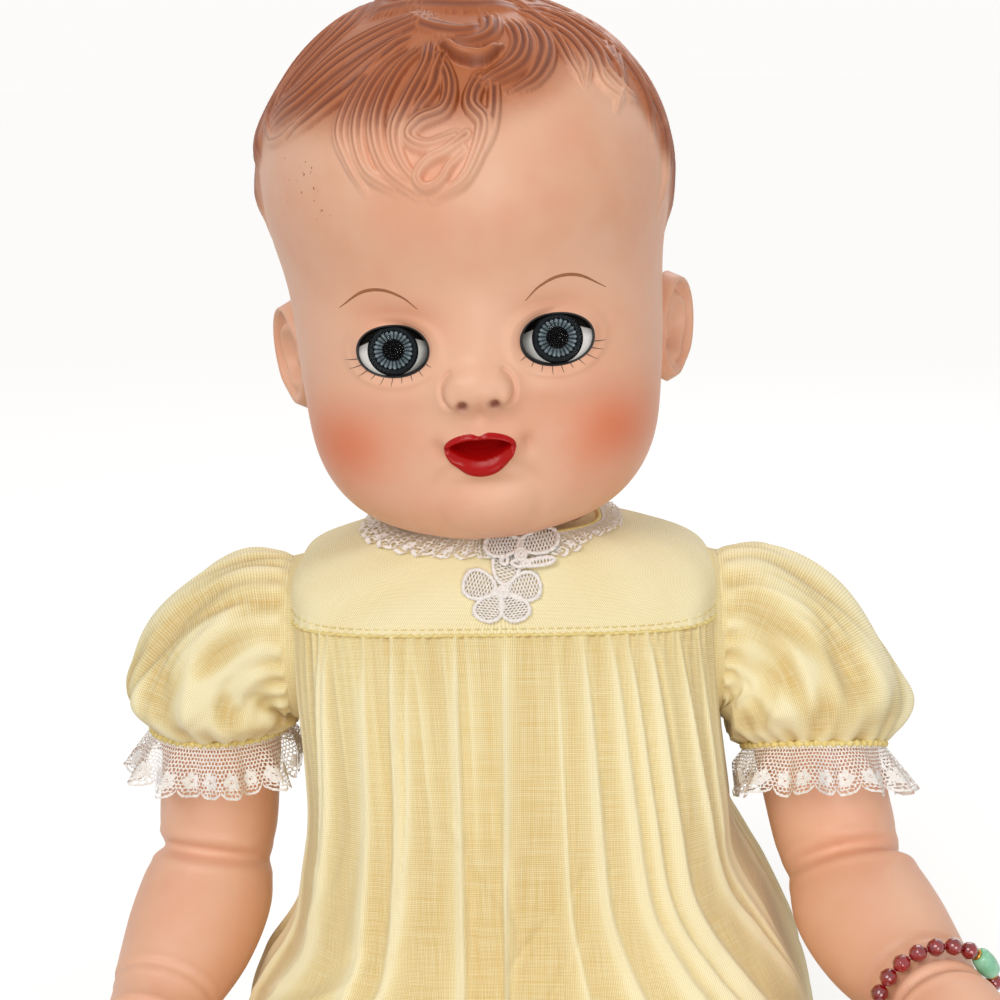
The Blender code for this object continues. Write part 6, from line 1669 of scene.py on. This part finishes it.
def build_bracelet(red, green, gold):
    """Cut red beads, a green stone between gold rings, and a clasp."""
    wrist, axis = (np.array(JOINTS["bracelet_turn"][key]) for key in ("pos_m", "axis"))
    axis = axis / np.linalg.norm(axis)
    across = np.array((1.0, 0, 0)) - axis * axis[0]
    across /= np.linalg.norm(across)
    along = np.cross(axis, across)
    green_arc = (STONE_LENGTH + BEAD_GAP) / BRACELET_REACH
    free = TAU - green_arc - (CLASP_ROOM + BEAD_GAP) / BRACELET_REACH
    count = int(free * BRACELET_REACH / (2 * BEAD_RADIUS))
    step = free / count

    def place(angle):
        return wrist + BRACELET_REACH * (np.outer(np.cos(angle), across) + np.outer(np.sin(angle), along))

    def spin(angle, profile, sides, twist=0.0):
        out = across * math.cos(angle) + along * math.sin(angle)
        way = along * math.cos(angle) - across * math.sin(angle)
        t = np.linspace(0, TAU, sides, endpoint=False) + twist
        rows = []
        for level, radius in profile:
            rows.append(place(np.array([angle]))[0] + way * level
                        + radius * (np.cos(t)[:, None] * out + np.sin(t)[:, None] * axis))
        return np.vstack(rows), capped(len(profile), sides)

    facets = scaled(BEAD_FACETS, BEAD_RADIUS, BEAD_RADIUS)
    beads, stone, metal = Batch(), Batch(), Batch()
    angles = [GREEN_AT + green_arc / 2 + step * (0.5 + i) for i in range(count - count // 2)]
    angles += [GREEN_AT - green_arc / 2 - step * (0.5 + i) for i in range(count // 2)]
    for index, angle in enumerate(angles):
        beads.add(*spin(angle, facets, 9, index * 0.9))
    ring = np.linspace(0, TAU, 160, endpoint=False)
    beads.add(*tube(place(ring), 0.0005, 6, closed=True))
    obj = beads.make("red_beads", "bracelet", "red_glass", red, smooth=False)
    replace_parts(obj, "bracelet_red_beads")
    stone.add(*spin(GREEN_AT, smooth_curve(scaled(STONE_BARREL, STONE_LENGTH, STONE_RADIUS), 30), 40))
    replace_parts(stone.make("green_stone_bead", "bracelet", "green_stone", green), "bracelet_green_bead")
    middle = GREEN_AT + math.pi + (0.5 * step if count % 2 else 0.0)
    metal.add(*spin(middle, smooth_curve(scaled(CLASP_BARREL, CLASP_LENGTH, CLASP_RADIUS), 40), 32))
    for angle in (GREEN_AT - green_arc / 2, GREEN_AT + green_arc / 2):
        metal.add(*spin(angle, smooth_curve(SPACER_RING, 10), 24))
    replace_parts(metal.make("gold_clasp", "bracelet", "gold", gold), "bracelet_clasp")


# Materials of the dress, the bracelet and the pieces inside


def cloth_material():
    """Thin gauze: threads both ways with small gaps, slubs, a deeper colour between folds that is painted
    shade, paler folds that are partly doubled cloth and partly painted light, and a deeper colour at the hem.
    """
    shader = Shader("yellow_gauze", roughness=0.78)
    shader.set("Specular IOR Level", 0.15)
    shader.set("Sheen Weight", 0.25)
    weave = shader.attribute("weave", "Vector")
    split = shader.node("ShaderNodeSeparateXYZ")
    shader.link(weave, split.inputs[0])
    threads = []
    for axis in ("X", "Y"):
        turn = shader.math("MULTIPLY", split.outputs[axis], math.pi / THREAD_PITCH)
        threads.append(shader.math("ABSOLUTE", shader.math("SINE", turn, 0.0), 0.0))
    cover = shader.math("MAXIMUM", threads[0], threads[1])
    slubs = []
    for stretch in ((2.2, 0.05, 1.0), (0.05, 2.2, 1.0)):
        drawn = shader.node("ShaderNodeVectorMath", operation="MULTIPLY")
        shader.link(weave, drawn.inputs[0])
        drawn.inputs[1].default_value = stretch
        noise = shader.node("ShaderNodeTexNoise")
        noise.inputs["Scale"].default_value = 1.0
        noise.inputs["Detail"].default_value = 3.0
        shader.link(drawn.outputs[0], noise.inputs["Vector"])
        slubs.append(noise.outputs[0])
    slub = shader.math("ADD", slubs[0], slubs[1])
    # fold: painted shade between the folds and painted light on them; on the skirt the pale pleats are also
    # doubled cloth
    fold = shader.attribute("fold")
    colour = shader.mix(shader.ramp(fold, 0.0, 0.45), CLOTH_DEEP, CLOTH)
    colour = shader.mix(shader.ramp(fold, 0.40, 0.95), colour, CLOTH_PALE)
    colour = shader.mix(shader.ramp(slub, 0.75, 1.30, 0.0, 0.55), colour, CLOTH_PALE)
    colour = shader.mix(shader.ramp(cover, 0.25, 0.75, 0.30, 0.0), colour, CLOTH_DEEP)
    hem = shader.math("MULTIPLY", shader.attribute("hem"), 0.55)
    shader.colour(shader.mix(hem, colour, CLOTH_DEEP))
    opened = shader.ramp(cover, 0.30, 0.72, 0.38, 0.97)
    thicker = shader.math("ADD", opened, shader.math("MULTIPLY", shader.ramp(fold, 0.3, 0.9), 0.18))
    clamp = shader.node("ShaderNodeClamp")
    shader.link(thicker, clamp.inputs[0])
    shader.link(clamp.outputs[0], shader.main.inputs["Alpha"])
    shader.bump(shader.math("ADD", cover, shader.math("MULTIPLY", slub, 0.6)), 0.35, 0.0003)
    return shader.material


def plain_material(name, first, second, scale, roughness, metallic=0.0, relief=0.1):
    """Two close colours in soft patches over a faint relief."""
    shader = Shader(name, roughness=roughness)
    shader.set("Metallic", metallic)
    shader.colour(shader.mix(shader.ramp(shader.noise(scale, 3.0), 0.3, 0.7), first, second))
    shader.bump(shader.noise(scale * 3), relief, 0.0003)
    return shader


# Name, two colours, grain, roughness, metal, relief, coat, and the pieces of the part that have the finish
FINISHES = (
    ("cup_board", (58, 44, 38), (42, 32, 28), 300.0, 0.7, 0.0, 0.1, 0.0, ("eye_cup_left", "eye_cup_right")),
    ("bright_wire", (190, 190, 192), (150, 150, 154), 500.0, 0.3, 1.0, 0.1, 0.0, ("eye_axle",)),
    ("dull_lead", (112, 114, 120), (84, 86, 92), 260.0, 0.6, 0.8, 0.3, 0.0, ("eye_weight", "voice_weight")),
    ("voice_card", (176, 148, 110), (150, 122, 88), 220.0, 0.85, 0.0, 0.3, 0.0, ("voice_can", "voice_lid")),
    ("bellows_cloth", (120, 58, 50), (92, 42, 38), 600.0, 0.9, 0.0, 0.5, 0.0, ("voice_bellows",)),
    ("reed_plastic", (226, 214, 190), (206, 194, 168), 200.0, 0.4, 0.0, 0.1, 0.0, ("voice_reed",)),
    ("pearl_button", (244, 240, 232), (228, 224, 222), 180.0, 0.2, 0.0, 0.1, 0.5,
     ("back_button_1", "back_button_2", "back_button_3")),
)


def refinish(name, material):
    """Gives a piece of the part one material in place of its plain one."""
    mesh = frame["nodes"][name].data
    mesh.materials.clear()
    mesh.materials.append(material)


def dress_up(skin):
    """Every piece of the part that still shows gets its own finish."""
    for name, first, second, grain, roughness, metallic, relief, coat, pieces in FINISHES:
        finish = plain_material(name, srgb(*first), srgb(*second), grain, roughness, metallic, relief)
        finish.set("Coat Weight", coat)
        for piece in pieces:
            refinish(piece, finish.material)
    refinish("torso_shell", skin)


# Stage


def seen_by_eye(nodes, links):
    """1 for rays that come from the camera, straight or by way of gloss or glass."""
    path = nodes.new("ShaderNodeLightPath")
    sums = []
    for first, second in ((path.outputs["Is Camera Ray"], path.outputs["Is Glossy Ray"]),
                          (None, path.outputs["Is Transmission Ray"])):
        made = nodes.new("ShaderNodeMath")
        made.operation = "MAXIMUM"
        links.new(first or sums[-1], made.inputs[0])
        links.new(second, made.inputs[1])
        sums.append(made.outputs[0])
    return sums[-1]


WORLD_LIGHT, WORLD_SEEN = 0.50, 0.98  # what the backdrop gives, and how bright it looks
FLOOR_SIZE, FLOOR_DROP, FLOOR_GLOW = 14.0, 0.0004, 0.575


def build_camera():
    back = Vector((math.sin(CAMERA_YAW) * math.cos(CAMERA_PITCH),
                   -math.cos(CAMERA_YAW) * math.cos(CAMERA_PITCH), math.sin(CAMERA_PITCH)))
    camera = linked("camera", bpy.data.cameras.new("camera"))
    turn = back.to_track_quat("Z", "Y").to_matrix().to_4x4() @ Matrix.Rotation(CAMERA_ROLL, 4, "Z")
    camera.matrix_world = Matrix.Translation(CAMERA_TARGET + back * CAMERA_DISTANCE) @ turn
    camera.data.angle = CAMERA_VIEW
    camera.data.clip_start = 0.01
    bpy.context.scene.camera = camera


def lamp(name, kind, place, aim, size, power, tint):
    """A sun with an angle, or a round panel with a size."""
    data = bpy.data.lights.new(name, kind)
    if kind == "SUN":
        data.angle = size
    else:
        data.shape = "DISK"
        data.size = size
    data.energy = power
    data.color = tint
    light = linked(name, data)
    light.location = place
    light.rotation_euler = (Vector(place) - Vector(aim)).to_track_quat("Z", "Y").to_euler()


def build_backdrop():
    """A white surround that looks brighter than the light it gives."""
    world = bpy.data.worlds.new("studio")
    bpy.context.scene.world = world
    world.use_nodes = True
    nodes, links = world.node_tree.nodes, world.node_tree.links
    strength = nodes.new("ShaderNodeMapRange")
    strength.inputs["To Min"].default_value = WORLD_LIGHT
    strength.inputs["To Max"].default_value = WORLD_SEEN
    links.new(seen_by_eye(nodes, links), strength.inputs["Value"])
    links.new(strength.outputs["Result"], nodes["Background"].inputs["Strength"])
    nodes["Background"].inputs["Color"].default_value = (1.0, 0.99, 0.98, 1.0)


def build_floor():
    """A wide pale floor that fades into the surround."""
    mesh = bpy.data.meshes.new("floor")
    corners = [(x * FLOOR_SIZE, y * FLOOR_SIZE, 0) for x, y in ((-1, -1), (1, -1), (1, 1), (-1, 1))]
    mesh.from_pydata(corners, [], [(0, 1, 2, 3)])
    floor = linked("floor", mesh)
    floor.location.z = -FLOOR_DROP
    shader = Shader("pale_floor", roughness=0.9)
    shader.colour((0.55, 0.55, 0.545))
    shader.set("Specular IOR Level", 0.0)
    shader.set("Emission Color", (1.0, 0.995, 0.985, 1.0))
    glow = shader.math("MULTIPLY", seen_by_eye(shader.tree.nodes, shader.tree.links), FLOOR_GLOW)
    shader.link(glow, shader.main.inputs["Emission Strength"])
    mesh.materials.append(shader.material)


def build_stage():
    build_camera()
    lamp("key", "SUN", (-0.50, -1.05, 1.10), (0, 0, 0.2), math.radians(30), 1.14, (1.0, 0.975, 0.94))
    lamp("fill", "AREA", (0.35, -1.10, 0.22), (0, 0, 0.22), 0.6, 4.3, (1.0, 0.98, 0.96))
    lamp("rim", "AREA", (0.3, 0.9, 1.0), (0, 0, 0.2), 0.7, 3.0, (1.0, 1.0, 1.0))
    build_backdrop()
    build_floor()
    bpy.context.scene.view_settings.view_transform = "Standard"


build_stage()
face_skin = skin_material("face_vinyl", True)
plain_skin = skin_material("body_vinyl", False)
brow_paint = Shader("brow_paint", roughness=0.5)
brow_paint.colour(brow_paint.mix(brow_paint.noise(700.0), srgb(168, 106, 66), srgb(136, 80, 48)))
face_tree = build_head(face_skin)
build_brows(face_tree, brow_paint.material)
build_ears(plain_skin)
build_neck(plain_skin)
build_eyes()
build_arms(plain_skin)
build_legs(plain_skin)
gauze = cloth_material()
thread = plain_material("yellow_thread", srgb(238, 222, 156), srgb(222, 198, 122), 900.0, 0.8, 0.0, 0.4)
cotton = plain_material("white_lace_thread", srgb(247, 243, 238), srgb(232, 226, 222), 1200.0, 0.85, 0.0, 0.4)
build_dress(gauze, thread.material)
build_sleeves(gauze, thread.material, cotton.material)
build_collar(cotton.material)
build_appliques(cotton.material)
ruby = plain_material("dark_red_glass", srgb(150, 6, 18), srgb(112, 3, 12), 300.0, 0.06, 0.0, 0.02)
ruby.set("Coat Weight", 1.0)
jade = plain_material("pale_green_stone", srgb(128, 196, 158), srgb(160, 214, 184), 260.0, 0.18, 0.0, 0.05)
brass = plain_material("gold_metal", srgb(214, 164, 82), srgb(180, 128, 54), 400.0, 0.28, 1.0, 0.1)
build_bracelet(ruby.material, jade.material, brass.material)
dress_up(plain_skin)
